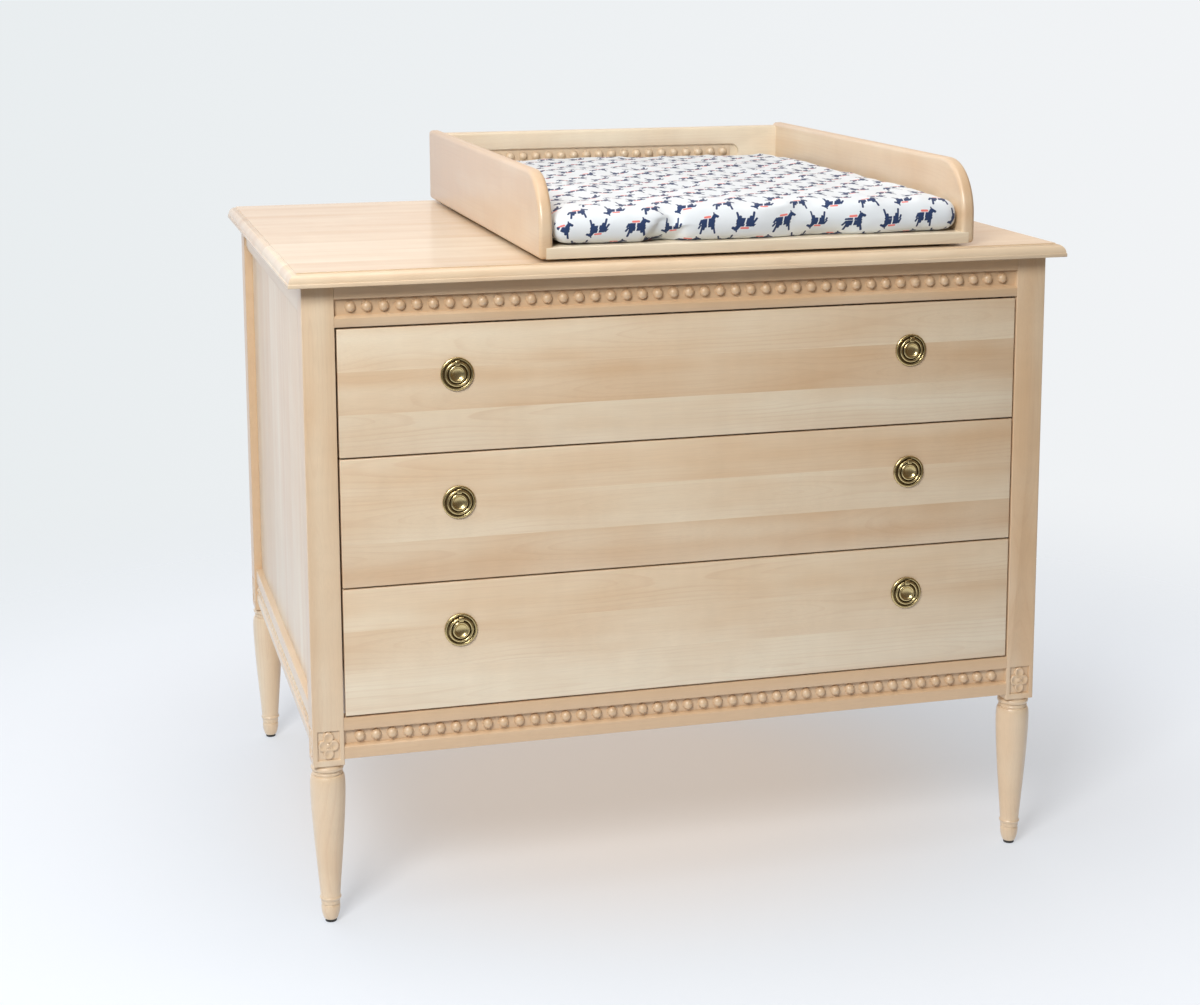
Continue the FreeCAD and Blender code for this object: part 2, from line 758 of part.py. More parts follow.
# ---------------------------------------------------------------- changing tray and mat
tray_x = left_face + s.tray_left
tray_y = front_face - s.tray_front
tray_z = worktop + s.pad_thick
tray_inner = s.tray_width - 2 * s.tray_board


def make_tray_sides():
    """Boards with a quarter-round front corner, rabbeted below for the bottom plate."""
    high = s.tray_height
    deep = s.tray_depth
    corner = s.tray_corner
    for side, x in (("left", tray_x), ("right", tray_x + s.tray_width - s.tray_board)):
        name = f"tray_{side}_board"
        blank = moulding(name + "_blank", [
            (0, 0), (deep, 0), (deep, high), (corner, high, corner, high - corner),
            (0, high - corner)], s.tray_board)
        place(blank, x, tray_y, tray_z)
        rabbet = box(name + "_rabbet", s.tray_rabbet, s.tray_depth - s.tray_board, s.tray_plate)
        inner = x + s.tray_board - s.tray_rabbet if side == "left" else x
        place(rabbet, inner, tray_y, tray_z)
        node(cut(name, blank, [rabbet]))


def make_tray_back():
    high = s.tray_height - s.tray_back_drop
    y = tray_y + s.tray_depth - s.tray_board
    blank = place(box("tray_back_blank", tray_inner, s.tray_board, high), tray_x + s.tray_board, y, tray_z)
    round_end = s.tray_panel_high / 2
    panel_x = tray_x + (s.tray_width - s.tray_panel_wide) / 2
    slot_straight = s.tray_panel_wide - 2 * round_end
    slot = [place(box("tray_slot", slot_straight, s.tray_panel_sunk, s.tray_panel_high),
                  panel_x + round_end, y, tray_z + s.tray_panel_low)]
    for index, x in enumerate((panel_x + round_end, panel_x + round_end + slot_straight)):
        end = cylinder(f"tray_slot_end_{index}", round_end, s.tray_panel_sunk, (0, 1, 0))
        slot.append(place(end, x, y, tray_z + s.tray_panel_low + round_end))
    node(cut("tray_back_board", blank, [fuse("tray_slot_shape", slot)]))
    strip = bead_strip("tray_beads", slot_straight, s.tray_panel_high)
    place(strip, panel_x + round_end, y + s.tray_panel_sunk - s.bead_base, tray_z + s.tray_panel_low)
    node(strip)


def make_tray_plate_and_pads():
    reach = s.tray_board - s.tray_rabbet
    plate = box("tray_plate", s.tray_width - 2 * reach, s.tray_depth - s.tray_board, s.tray_plate)
    node(place(plate, tray_x + reach, tray_y, tray_z))
    pads = []
    near_x = tray_x + s.tray_board + s.pad_inset
    far_x = tray_x + s.tray_width - s.tray_board - s.pad_inset
    near_y = tray_y + s.pad_inset
    far_y = tray_y + s.tray_depth - s.tray_board - s.pad_inset
    for index, (x, y) in enumerate(((near_x, near_y), (far_x, near_y), (near_x, far_y), (far_x, far_y))):
        pads.append(place(cylinder(f"tray_pad_{index}", s.pad_radius, s.pad_thick), x, y, worktop))
    node(group("tray_pads", pads))


def make_mat():
    """A plain block with rounded edges, clear of the boards and of the beads behind it."""
    width = tray_inner - 2 * s.mat_gap
    bead_proud = s.bead_size / 2 + s.bead_base - s.tray_panel_sunk
    deep = s.tray_depth - s.tray_board - s.mat_setback - bead_proud - s.mat_rear_gap
    block = box("mat_block", width, deep, s.mat_thick)
    place(block, tray_x + s.tray_board + s.mat_gap, tray_y + s.mat_setback,
          tray_z + s.tray_plate + s.mat_gap)
    doc.recompute()
    mat = doc.addObject("Part::Fillet", "changing_mat")
    mat.Base = block
    largest_share = 0.45
    radius = min(s.mat_round.value, s.mat_thick.value * largest_share)
    mat.Edges = [(index + 1, radius, radius) for index in range(len(block.Shape.Edges))]
    node(mat)


# ---------------------------------------------------------------- build, check and write
def check_document():
    for obj in doc.Objects:
        if "Invalid" in obj.State or "Error" in obj.State:
            raise RuntimeError(f"{obj.Name} did not build: {obj.State}")
    for obj in NODES:
        if obj.Shape.isNull() or not obj.Shape.isValid() or not obj.Shape.Solids:
            raise RuntimeError(f"{obj.Name} has no valid solid")


def main():
    make_top_board()
    make_posts()
    make_rosettes()
    make_legs()
    make_glides_and_bolts()
    make_top_screws()
    make_front_rails()
    make_side_rails()
    make_back()
    make_dividers_and_runners()
    make_slides()
    make_drawers()
    make_pulls()
    make_tray_sides()
    make_tray_back()
    make_tray_plate_and_pads()
    make_mat()
    doc.recompute()
    check_document()
    os.makedirs("parts", exist_ok=True)
    for obj in NODES:
        obj.Label = obj.Name
        obj.Shape.exportStep(f"parts/{obj.Label}.step")
    print(len(NODES), "nodes")


main()
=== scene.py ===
# %% [markdown]
# # A changing table in lacquered birch
# The CAD model gives every board its place. This lesson gives the boards their eased edges, the turned
# and carved pieces their curves, the mat its stuffing, and every surface its finish.

import json
import math

import bmesh
import bpy
from mathutils import Matrix, Vector, geometry, noise


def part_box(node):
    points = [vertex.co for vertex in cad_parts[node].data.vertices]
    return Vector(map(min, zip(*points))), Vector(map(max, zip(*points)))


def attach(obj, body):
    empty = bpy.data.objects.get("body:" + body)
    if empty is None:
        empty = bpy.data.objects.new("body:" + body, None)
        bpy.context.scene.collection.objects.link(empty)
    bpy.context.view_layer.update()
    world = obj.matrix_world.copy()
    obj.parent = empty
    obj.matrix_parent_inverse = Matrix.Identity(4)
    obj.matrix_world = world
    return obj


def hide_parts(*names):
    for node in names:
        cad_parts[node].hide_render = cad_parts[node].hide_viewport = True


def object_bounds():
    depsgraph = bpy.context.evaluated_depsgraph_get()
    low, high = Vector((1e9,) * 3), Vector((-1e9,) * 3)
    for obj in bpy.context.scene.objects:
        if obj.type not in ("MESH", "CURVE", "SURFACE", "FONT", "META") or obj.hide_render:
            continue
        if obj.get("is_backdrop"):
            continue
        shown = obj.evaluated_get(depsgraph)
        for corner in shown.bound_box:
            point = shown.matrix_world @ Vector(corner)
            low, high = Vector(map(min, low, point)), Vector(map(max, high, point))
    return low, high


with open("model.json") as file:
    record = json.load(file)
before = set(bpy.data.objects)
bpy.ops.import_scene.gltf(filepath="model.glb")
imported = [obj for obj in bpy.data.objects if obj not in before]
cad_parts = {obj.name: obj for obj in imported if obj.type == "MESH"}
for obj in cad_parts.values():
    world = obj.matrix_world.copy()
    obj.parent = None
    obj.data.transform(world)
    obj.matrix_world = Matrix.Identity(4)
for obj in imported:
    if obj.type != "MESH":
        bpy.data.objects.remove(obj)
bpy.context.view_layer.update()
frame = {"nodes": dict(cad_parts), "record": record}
bodies = frame["record"]["behaviour"]["bodies"]
bodies_of_nodes = {node: body for body, nodes in bodies.items() for node in nodes}

MM = 0.001      # the scene is in metres, and a joiner thinks in millimetres

# %% [markdown]
# ## Camera
# The table is seen from the left of its middle, a little above the worktop. A long lens keeps its lines
# straight. The lens is shifted down, as an architectural photographer does, so that the uprights stay
# nearly upright while the legs are still in the picture.

# %% Camera
camera_data = bpy.data.cameras.new("camera")
camera_data.sensor_width = 36
camera_data.lens = 64.68
camera_data.shift_x = -0.0022
camera_data.shift_y = -0.148
camera_data.clip_end = 60
camera = bpy.data.objects.new("camera", camera_data)
CAMERA_SPOT = (-0.815, -2.989, 1.226)
turn = Matrix.Rotation(math.radians(-14.912), 4, "Z")           # to the right of straight ahead
tilt = Matrix.Rotation(math.radians(90 - 9.508), 4, "X")        # a camera at 0 degrees looks at the floor
roll = Matrix.Rotation(math.radians(-0.21), 4, "Z")
camera.matrix_world = Matrix.Translation(CAMERA_SPOT) @ turn @ tilt @ roll
bpy.context.scene.collection.objects.link(camera)
bpy.context.scene.camera = camera
bpy.context.scene.view_settings.view_transform = "Standard"
print("camera", camera_data.lens, "mm lens,", CAMERA_SPOT[2], "m above the floor")

# %% [markdown]
# ## Building materials from nodes
# A colour is written the way a paint chart gives it, as an sRGB hex value, but a shader works in linear
# light. One function turns the first into the second. Another adds a node, sets it up and wires it, and
# gives back its output, so that a material reads as a list of steps.


# %% Colour and node helpers
SMOOTH = {"interpolation_type": "SMOOTHSTEP"}
COLOURS = {"data_type": "RGBA"}
TIMES_PLUS = {"operation": "MULTIPLY_ADD"}


def linear(hex_code):
    """An sRGB hex colour as linear red, green, blue and alpha."""
    channels = [int(hex_code[i:i + 2], 16) / 255 for i in (1, 3, 5)]
    return [c / 12.92 if c <= 0.04045 else ((c + 0.055) / 1.055) ** 2.4 for c in channels] + [1.0]


def add(tree, kind, links=(), **settings):
    """Add a node, set it up, fill its inputs by name or in order, and give back its first output."""
    node = tree.nodes.new("ShaderNode" + kind)
    for name, value in settings.items():
        setattr(node, name, value)
    usable = [socket for socket in node.inputs if socket.enabled]
    for key, value in links.items() if isinstance(links, dict) else enumerate(links):
        socket = usable[key] if isinstance(key, int) else next(s for s in usable if s.name == key)
        if isinstance(value, bpy.types.NodeSocket):
            tree.links.new(value, socket)
        else:
            socket.default_value = value
    return next((socket for socket in node.outputs if socket.enabled), None)


def streaky(tree, place, scale, detail):
    """A noise pattern stretched or squeezed along each axis."""
    place = add(tree, "Mapping", {"Vector": place, "Scale": scale})
    return add(tree, "TexNoise", {"Vector": place, "Scale": 1.0, "Detail": detail})


def new_material(name):
    """A material with an empty node tree."""
    material = bpy.data.materials.new(name)
    material.use_nodes = True
    material.node_tree.nodes.clear()
    return material, material.node_tree


def wear(piece, material):
    """Give a piece its one material."""
    piece.data.materials.clear()
    piece.data.materials.append(material)


def corners_of(piece):
    """Lowest and highest corner of a piece's own mesh."""
    points = [v.co for v in piece.data.vertices]
    return [Vector([extreme(p[i] for p in points) for i in range(3)]) for extreme in (min, max)]


# %% [markdown]
# ## Lacquered birch
# Birch is a pale wood. A board sawn from the trunk shows its growth rings as thin, slightly pinker
# lines: straight near the board's edges, and drawn out into arches and ovals where the saw ran along a
# ring. A wide panel is glued up from several boards, and each has its own warmth. A satin lacquer
# leaves a soft sheen, clearest on the top board.
#
# The rings are worked out as they grow: each point's distance from a wandering centre line, the pith,
# is divided by the width of a ring. The pattern is solid, so a side and an end of the same board agree.
# A Mapping node centres it on the piece. `grain` names the axes along, across and through the board.

# %% Lacquered birch
RING_WIDTH = 5.5 * MM       # one year's growth
FIBRE = 0.9 * MM            # finer in the wood; drawn as coarse as it needs to show
FLAME = 26 * MM             # the ripple that crosses the grain
PITH_WANDER = 75 * MM       # how far the pith strays in depth along a board
PITH_RISE = -22 * MM
PITH_ASIDE = 0.7            # how far it may lie off the middle, as a share of the board's width
WOBBLE = 9 * MM             # how far a ring strays from a circle
SEED_STEP = 3.77            # gives each piece boards of its own
birch_count = 0


def place_in_trunk(tree, axes, width, boards):
    """A point's place in the trunk it was sawn from, its distance from the pith, and its board's tint."""
    along, across, through = axes

    # which board this is, and three random numbers of its own
    board = add(tree, "Math", [across, 1 / width, boards / 2], **TIMES_PLUS)
    board = add(tree, "Math", [board], operation="FLOOR")
    seed = add(tree, "Math", [board, SEED_STEP * birch_count], operation="ADD")
    luck = add(tree, "TexWhiteNoise", {"W": seed}, noise_dimensions="1D").node.outputs["Color"]
    shift, start, tint = add(tree, "SeparateXYZ", {"Vector": luck}).node.outputs

    # distance from the pith, which wanders along the board
    middle = add(tree, "Math", [board, width, (0.5 - boards / 2) * width], **TIMES_PLUS)
    sideways = add(tree, "Math", [across, middle], operation="SUBTRACT")
    shift = add(tree, "Math", [shift, PITH_ASIDE * width, -PITH_ASIDE / 2 * width], **TIMES_PLUS)
    sideways = add(tree, "Math", [sideways, shift], operation="ADD")
    lengthways = add(tree, "Math", [start, 9.0, along], **TIMES_PLUS)
    bend = add(tree, "TexNoise", {"W": lengthways, "Scale": 2.1, "Detail": 1.0}, noise_dimensions="1D")
    bend = add(tree, "Math", [bend, PITH_WANDER, PITH_RISE], **TIMES_PLUS)
    depth = add(tree, "Math", [through, bend], operation="ADD")
    sawn = add(tree, "CombineXYZ", {"X": lengthways, "Y": sideways, "Z": depth})
    spoke = add(tree, "CombineXYZ", {"Y": sideways, "Z": depth})
    radius = add(tree, "VectorMath", [spoke], operation="LENGTH").node.outputs["Value"]
    wobble = streaky(tree, sawn, (5.0, 34.0, 34.0), 2.0)
    radius = add(tree, "Math", [wobble, WOBBLE, radius], **TIMES_PLUS)
    return sawn, radius, tint


def ring_lines(tree, sawn, radius, figure):
    """Rings: a slow rise to a thin dark line, then a sharp fall, uneven in width and strength."""
    uneven = add(tree, "TexNoise", {"W": radius, "Scale": 95.0, "Detail": 1.0}, noise_dimensions="1D")
    rings = add(tree, "Math", [radius, 1 / RING_WIDTH, uneven], **TIMES_PLUS)
    phase = add(tree, "Math", [rings], operation="FRACT")
    rise = add(tree, "MapRange", {"Value": phase, "From Min": 0.5, "From Max": 0.92}, **SMOOTH)
    fall = add(tree, "MapRange", {"Value": phase, "From Min": 1.0, "From Max": 0.92}, **SMOOTH)
    line = add(tree, "Math", [rise, fall], operation="MULTIPLY")
    patches = streaky(tree, sawn, (4.0, 26.0, 26.0), 1.0)
    patches = add(tree, "MapRange", {"Value": patches, "From Min": 0.38, "From Max": 0.72,
                                     "To Min": 0.02 * figure, "To Max": 0.21 * figure})
    return add(tree, "Math", [line, patches], operation="MULTIPLY")


def board_warmth(tree, sawn, tint, warmth):
    """Warmth of the whole board, of soft bands where heartwood begins, and of clouds in it."""
    band = streaky(tree, sawn, (0.9, 30.0, 8.0), 1.0)
    cloud = streaky(tree, sawn, (7.0, 17.0, 17.0), 2.0)
    warm = add(tree, "Math", [tint, 0.5, warmth - 1.17], **TIMES_PLUS)
    warm = add(tree, "Math", [band, 1.1, warm], **TIMES_PLUS)
    warm = add(tree, "Math", [cloud, 0.75, warm], **TIMES_PLUS)
    return add(tree, "Clamp", {"Value": warm})


def lacquered_birch(piece, grain, boards=1, warmth=0.5, figure=1.0, haze=0.28):
    """Solid wood with growth rings about a pith, in one or more glued boards."""
    global birch_count
    birch_count += 1
    low, high = corners_of(piece)
    material, tree = new_material("lacquered_birch_" + piece.name)
    width = (high - low)["XYZ".index(grain[1])] / boards
    place = add(tree, "TexCoord").node.outputs["Object"]
    place = add(tree, "Mapping", {"Vector": place, "Location": -(low + high) / 2})
    axes = add(tree, "SeparateXYZ", {"Vector": place}).node.outputs
    sawn, radius, tint = place_in_trunk(tree, [axes[letter] for letter in grain], width, boards)

    # fibres along the board, and the faint flame across it
    fibre = streaky(tree, sawn, (26.0, 1 / FIBRE, 1 / FIBRE), 3.0)
    flame = streaky(tree, sawn, (1 / FLAME, 9.0, 9.0), 2.0)
    shade = add(tree, "Math", [fibre, 0.14, 0.885], **TIMES_PLUS)
    shade = add(tree, "Math", [flame, 0.09, shade], **TIMES_PLUS)

    warm = board_warmth(tree, sawn, tint, warmth)
    colour = add(tree, "Mix", {"Factor": warm, "A": linear("#ECDEC5"), "B": linear("#D8B893")}, **COLOURS)
    line = ring_lines(tree, sawn, radius, figure)
    colour = add(tree, "Mix", {"Factor": line, "A": colour, "B": linear("#C59A74")}, **COLOURS)
    colour = add(tree, "HueSaturation", {"Color": colour, "Value": shade})
    gloss = add(tree, "Math", [fibre, 0.18, 0.36], **TIMES_PLUS)
    relief = add(tree, "Bump", {"Height": fibre, "Strength": 0.12, "Distance": 0.2 * MM})
    shader = add(tree, "BsdfPrincipled", {
        "Base Color": colour, "Roughness": gloss, "IOR": 1.5, "Coat Weight": 0.85,
        "Coat Roughness": haze, "Normal": relief})
    add(tree, "OutputMaterial", {"Surface": shader})
    wear(piece, material)
    return piece


# %% [markdown]
# ## Antique brass
# The pulls are cast and spun brass, darkened with a chemical patina and then rubbed back. The rubbed
# rims are bright, and the hollows stay brown. The ambient occlusion node finds the hollows, because it
# measures how shut in a point is.


# %% Antique brass
def antique_brass():
    """Bright where it is rubbed, brown in the hollows."""
    material, tree = new_material("antique_brass")
    place = add(tree, "TexCoord").node.outputs["Object"]
    open_air = add(tree, "AmbientOcclusion", {"Distance": 4 * MM}, samples=8).node.outputs["AO"]
    cloud = add(tree, "TexNoise", {"Vector": place, "Scale": 1 / (4 * MM), "Detail": 4.0})
    rubbed = add(tree, "Math", [cloud, 0.5, -0.27], **TIMES_PLUS)
    rubbed = add(tree, "Math", [open_air, rubbed], operation="ADD")
    rubbed = add(tree, "MapRange", {"Value": rubbed, "From Min": 0.3, "From Max": 0.95}, **SMOOTH)
    colour = add(tree, "Mix", {"Factor": rubbed, "A": linear("#6A5532"), "B": linear("#D6C28E")}, **COLOURS)
    gloss = add(tree, "MapRange", {"Value": rubbed, "To Min": 0.45, "To Max": 0.27})
    pitted = add(tree, "TexNoise", {"Vector": place, "Scale": 1 / (0.8 * MM), "Detail": 2.0})
    relief = add(tree, "Bump", {"Height": pitted, "Strength": 0.03, "Distance": 0.05 * MM})
    shader = add(tree, "BsdfPrincipled", {
        "Base Color": colour, "Metallic": 1.0, "Roughness": gloss, "Normal": relief})
    add(tree, "OutputMaterial", {"Surface": shader})
    return material


# %% [markdown]
# ## Zinc-plated steel
# Rolled sheet with a thin zinc coat: cool grey, with fine streaks along the way it was rolled and a
# soft, cloudy shine.


# %% Zinc-plated steel
def zinc_plated_steel(name, streak):
    """Plated steel whose streaks run along Y, `streak` wide."""
    material, tree = new_material(name)
    place = add(tree, "TexCoord").node.outputs["Object"]
    streaks = streaky(tree, place, (1 / streak, 12.0, 1 / streak), 3.0)
    cloud = add(tree, "TexNoise", {"Vector": place, "Scale": 1 / (9 * MM), "Detail": 3.0})
    colour = add(tree, "Mix", {"Factor": cloud, "A": linear("#A9ACAE"), "B": linear("#D2D4D5")}, **COLOURS)
    gloss = add(tree, "MapRange", {"Value": streaks, "To Min": 0.24, "To Max": 0.5})
    relief = add(tree, "Bump", {"Height": streaks, "Strength": 0.1, "Distance": 0.05 * MM})
    shader = add(tree, "BsdfPrincipled", {
        "Base Color": colour, "Metallic": 1.0, "Roughness": gloss, "Normal": relief})
    add(tree, "OutputMaterial", {"Surface": shader})
    return material


# %% [markdown]
# ## Moulded rubber and plastic
# The glides under the legs are hard black plastic, a little scuffed. The pads under the tray are soft
# rubber with a fine matt grain. They differ in gloss and in the size of the grain.


# %% Moulded rubber and plastic
def moulded(name, light, dark, gloss, grit):
    """A dark moulding with a fine grain and a few paler scuffs."""
    material, tree = new_material(name)
    place = add(tree, "TexCoord").node.outputs["Object"]
    grain = add(tree, "TexNoise", {"Vector": place, "Scale": 1 / grit, "Detail": 3.0})
    scuff = add(tree, "TexNoise", {"Vector": place, "Scale": 1 / (3 * MM), "Detail": 5.0})
    scuff = add(tree, "MapRange", {"Value": scuff, "From Min": 0.5, "From Max": 0.75})
    colour = add(tree, "Mix", {"Factor": scuff, "A": linear(dark), "B": linear(light)}, **COLOURS)
    rough = add(tree, "Math", [grain, 0.15, gloss], **TIMES_PLUS)
    relief = add(tree, "Bump", {"Height": grain, "Strength": 0.3, "Distance": 0.1 * MM})
    shader = add(tree, "BsdfPrincipled", {
        "Base Color": colour, "Roughness": rough, "IOR": 1.5, "Normal": relief})
    add(tree, "OutputMaterial", {"Surface": shader})
    return material


# %% [markdown]
# ## From a bmesh to a piece
# A finished piece sits at the origin with its place in its mesh, points its faces outwards, rides on
# the same body as the CAD node that it stands for, and hides that node. Curved faces are shaded smooth,
# and edges that turn by more than an angle stay crisp.


# %% Finish a piece
def make_piece(name, bm, *nodes, crisp=32, slot="birch"):
    """Turn a bmesh into a piece that stands for one or more CAD nodes."""
    bmesh.ops.recalc_face_normals(bm, faces=bm.faces)
    mesh = bpy.data.meshes.new(name)
    bm.to_mesh(mesh)
    bm.free()
    mesh.shade_smooth()
    mesh.set_sharp_from_angle(angle=math.radians(crisp))
    piece = bpy.data.objects.new(name, mesh)
    bpy.context.scene.collection.objects.link(piece)
    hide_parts(*nodes)
    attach(piece, bodies_of_nodes[nodes[0]])
    return piece


# %% [markdown]
# ## Easing the boards
# No real board has a knife edge: a joiner takes the arris off with sandpaper or a small round-over.
# That thin rounded edge catches the light and is what makes a board look like wood. A copy of the CAD
# board is merged and its flat triangles are dissolved, and then its outer edges are bevelled.


# %% Ease the edges of a board
def merged(node):
    """A bmesh copy of a CAD node, with its loose triangles joined into clean faces."""
    bm = bmesh.new()
    bm.from_mesh(frame["nodes"][node].data)
    bmesh.ops.remove_doubles(bm, verts=bm.verts, dist=0.01 * MM)
    flat = math.radians(1)
    bmesh.ops.dissolve_limit(bm, angle_limit=flat, verts=bm.verts, edges=bm.edges)
    return bm


def outer_edges(bm, longer_than, sharper_than=50):
    """Edges that stand out, turn sharply and are long enough to round over."""
    return [e for e in bm.edges if len(e.link_faces) == 2 and e.is_convex
            and e.calc_length() > longer_than and e.calc_face_angle() > math.radians(sharper_than)]


def round_over(bm, edges, radius, segments=3):
    """Bevel some edges with a round profile."""
    bmesh.ops.bevel(bm, geom=edges, offset=radius, segments=segments, profile=0.5, affect="EDGES",
                    material=-1, clamp_overlap=True)


def birch_board(name, grain, arris=1.0 * MM, shortest=15 * MM, slot="birch", **wood):
    """A board that keeps the CAD node's shape, with its outer edges rounded over."""
    bm = merged(name)
    round_over(bm, outer_edges(bm, shortest), arris)
    return lacquered_birch(make_piece(name, bm, name, slot=slot), grain, **wood)


def join(bm, part):
    """Move everything in one bmesh into another."""
    mesh = bpy.data.meshes.new("part")
    part.to_mesh(mesh)
    part.free()
    bm.from_mesh(mesh)
    bpy.data.meshes.remove(mesh)


def solid_block(low, high):
    """A bmesh block between two corners."""
    bm = bmesh.new()
    size = high - low
    fit = Matrix.Translation((low + high) / 2) @ Matrix.Diagonal((*size, 1))
    bmesh.ops.create_cube(bm, size=1, matrix=fit)
    return bm


# %% [markdown]
# ## Carcase boards
# Posts, rails and panels keep the shape that the CAD gives them, sunk panels and bead channels
# included. Rails run across the front or along a side, so their grain does too. Posts and side panels
# have upright grain.

# %% Carcase boards
RAIL_ARRIS, PANEL_ARRIS = 0.8 * MM, 0.4 * MM
POST_EDGE = 20 * MM     # shorter edges belong to the sunk panels' corners
RAIL_EDGE = 100 * MM    # only a rail's long edges are eased
POST_ENDS = ("front_left", "front_right", "rear_left", "rear_right")
for end in POST_ENDS:
    birch_board("post_" + end, "ZXY", shortest=POST_EDGE, warmth=0.9, figure=0.7)
for level in ("top", "bottom"):
    # The front rails are warmer than the side rails: painted warm bounce from the wood around the bead
    # channels.
    birch_board(f"front_{level}_rail", "XZY", RAIL_ARRIS, RAIL_EDGE, warmth=0.88, figure=0.5)
    for side in ("left", "right"):
        birch_board(f"{side}_{level}_rail", "YZX", RAIL_ARRIS, RAIL_EDGE, warmth=0.5, figure=0.5)
for side in ("left", "right"):
    birch_board(side + "_panel", "ZYX", PANEL_ARRIS, boards=6, warmth=0.35, figure=0.8)
birch_board("back_panel", "ZXY", PANEL_ARRIS, boards=8, warmth=0.5, figure=0.8)
for name, grain in (("rear_rails", "XZY"), ("drawer_dividers", "XYZ"), ("runner_rails", "YZX")):
    birch_board(name, grain, warmth=0.6)
print("carcase boards", birch_count)

# %% [markdown]
# ## Top board
# The edge of the top is shaped with a router: a fine step all round the flat field, a quarter round
# below it, and a thin lip at the bottom. Each step of that section is one inset of the top face, so the
# corners come out mitred.

# %% Top board
LIP = 5 * MM            # height of the thin lip
LIP_ROUND = 0.8 * MM
LEDGE = 1.0 * MM        # flat of the lip, outside the quarter round
QUARTER_STEPS = 8
STEP = 1.5 * MM         # height of the step below the field
STEP_LEAN = 0.1 * MM
SHELF = 0.5 * MM        # flat between the quarter round and the step
FIELD_MARGIN = 0.4 * MM
FIELD_INSET = 12 * MM


def inset(bm, face, thickness, depth=0.0):
    """Draw a face in by `thickness` and lift it by `depth`."""
    bmesh.ops.inset_region(bm, faces=[face], thickness=thickness, depth=depth, use_even_offset=True)


low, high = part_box("top_board")
slab_top = Vector((high.x, high.y, low.z + LIP))
bm = solid_block(low, slab_top)
upper = max(bm.faces, key=lambda f: f.calc_center_median().z)
inset(bm, upper, LEDGE)
quarter = high.z - low.z - LIP - STEP
reach = FIELD_INSET - LEDGE - SHELF
for step in range(QUARTER_STEPS):
    now, after = (math.radians(90 * i / QUARTER_STEPS) for i in (step, step + 1))
    inset(bm, upper, reach * (math.cos(now) - math.cos(after)), quarter * (math.sin(after) - math.sin(now)))
inset(bm, upper, SHELF)
inset(bm, upper, STEP_LEAN, STEP)
inset(bm, upper, FIELD_MARGIN)
rim = [e for e in bm.edges if all(v.co.z < slab_top.z + 1e-6 for v in e.verts) and e.is_convex
       and e.calc_face_angle() > math.radians(60)]
round_over(bm, rim, LIP_ROUND)
top_board = make_piece("top_board", bm, "top_board", crisp=28)
lacquered_birch(top_board, "XYZ", boards=8, warmth=0.32, figure=0.75, haze=0.18)
print("top board", len(top_board.data.polygons), "faces")

# %% [markdown]
# ## Bead mouldings
# A strip of half-round beads lies in each channel, like a row of peas. Each row is a line of small
# spheres on a thin base, and one cut along the face of the base leaves every one a half. The beads are
# many, so each has only a few dozen faces.

# %% Bead mouldings
BEAD = 7.0 * MM         # radius
BEAD_AROUND, BEAD_RINGS = 14, 8
PITCH = 20.9 * MM
BASE = 2.0 * MM         # thickness of the strip behind the beads


def bead_row(bm, low, high, along, face, outward):
    """A strip's base and beads. `along` and `face` are axis numbers; `outward` is the beads' side."""
    base_low, base_high = low.copy(), high.copy()
    if outward < 0:
        base_low[face] = high[face] - BASE
    else:
        base_high[face] = low[face] + BASE
    level = base_low[face] if outward < 0 else base_high[face]
    length = high[along] - low[along]
    count = round((length - 2 * BEAD) / PITCH)
    row = bmesh.new()
    for number in range(count):
        spot = (low + high) / 2
        spot[along] += (number - (count - 1) / 2) * PITCH
        spot[face] = level
        bmesh.ops.create_uvsphere(row, u_segments=BEAD_AROUND, v_segments=BEAD_RINGS, radius=BEAD,
                                  matrix=Matrix.Translation(spot))
    cut = Vector((0, 0, 0))
    cut[face] = -outward
    at = (low + high) / 2
    at[face] = level
    bmesh.ops.bisect_plane(row, geom=row.verts[:] + row.edges[:] + row.faces[:], plane_co=at,
                           plane_no=cut, clear_outer=True)
    bmesh.ops.holes_fill(row, edges=[e for e in row.edges if e.is_boundary])
    join(bm, row)
    join(bm, solid_block(base_low, base_high))
    return count


for level in ("top", "bottom"):
    name = f"front_{level}_beads"
    bm = bmesh.new()
    count = bead_row(bm, *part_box(name), along=0, face=1, outward=-1)
    # The front beads are warmer than the side beads: painted warm bounce from the wood of the channel.
    lacquered_birch(make_piece(name, bm, name, crisp=60), "XZY", warmth=0.9, figure=0.4)
    print(name, count)
bm = bmesh.new()
low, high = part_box("side_beads")
for side in (-1, 1):
    near = low.copy()
    far = high.copy()
    if side < 0:
        far.x = low.x + BEAD + BASE
    else:
        near.x = high.x - BEAD - BASE
    count = bead_row(bm, near, far, along=1, face=0, outward=side)
lacquered_birch(make_piece("side_beads", bm, "side_beads", crisp=60), "YZX", warmth=0.5, figure=0.4)
print("beads along each side", count)

# %% [markdown]
# ## Turning on a lathe
# Legs, pulls, glides and even the petals of the carved flowers are turned: half of a section, written in
# millimetres as radius and height, is spun about its axis. An arc is a run of such points.


# %% Turning on a lathe
def turned(profile, steps, matrix):
    """A bmesh spun from a half section of (radius, height) points in mm, then put in place."""
    bm = bmesh.new()
    verts = [bm.verts.new((radius, 0, height)) for radius, height in profile]
    edges = [bm.edges.new(pair) for pair in zip(verts, verts[1:])]
    bmesh.ops.spin(bm, geom=verts + edges, cent=(0, 0, 0), axis=(0, 0, 1), angle=2 * math.pi,
                   steps=steps, use_merge=True)
    bmesh.ops.remove_doubles(bm, verts=bm.verts, dist=0.005)
    bmesh.ops.transform(bm, matrix=matrix @ Matrix.Scale(MM, 4), verts=bm.verts)
    return bm


def arc(centre, radius, first, last, steps):
    """Points on an arc of a section, from one angle to another in degrees."""
    angles = [math.radians(first + (last - first) * i / steps) for i in range(steps + 1)]
    return [(centre[0] + radius * math.cos(a), centre[1] + radius * math.sin(a)) for a in angles]


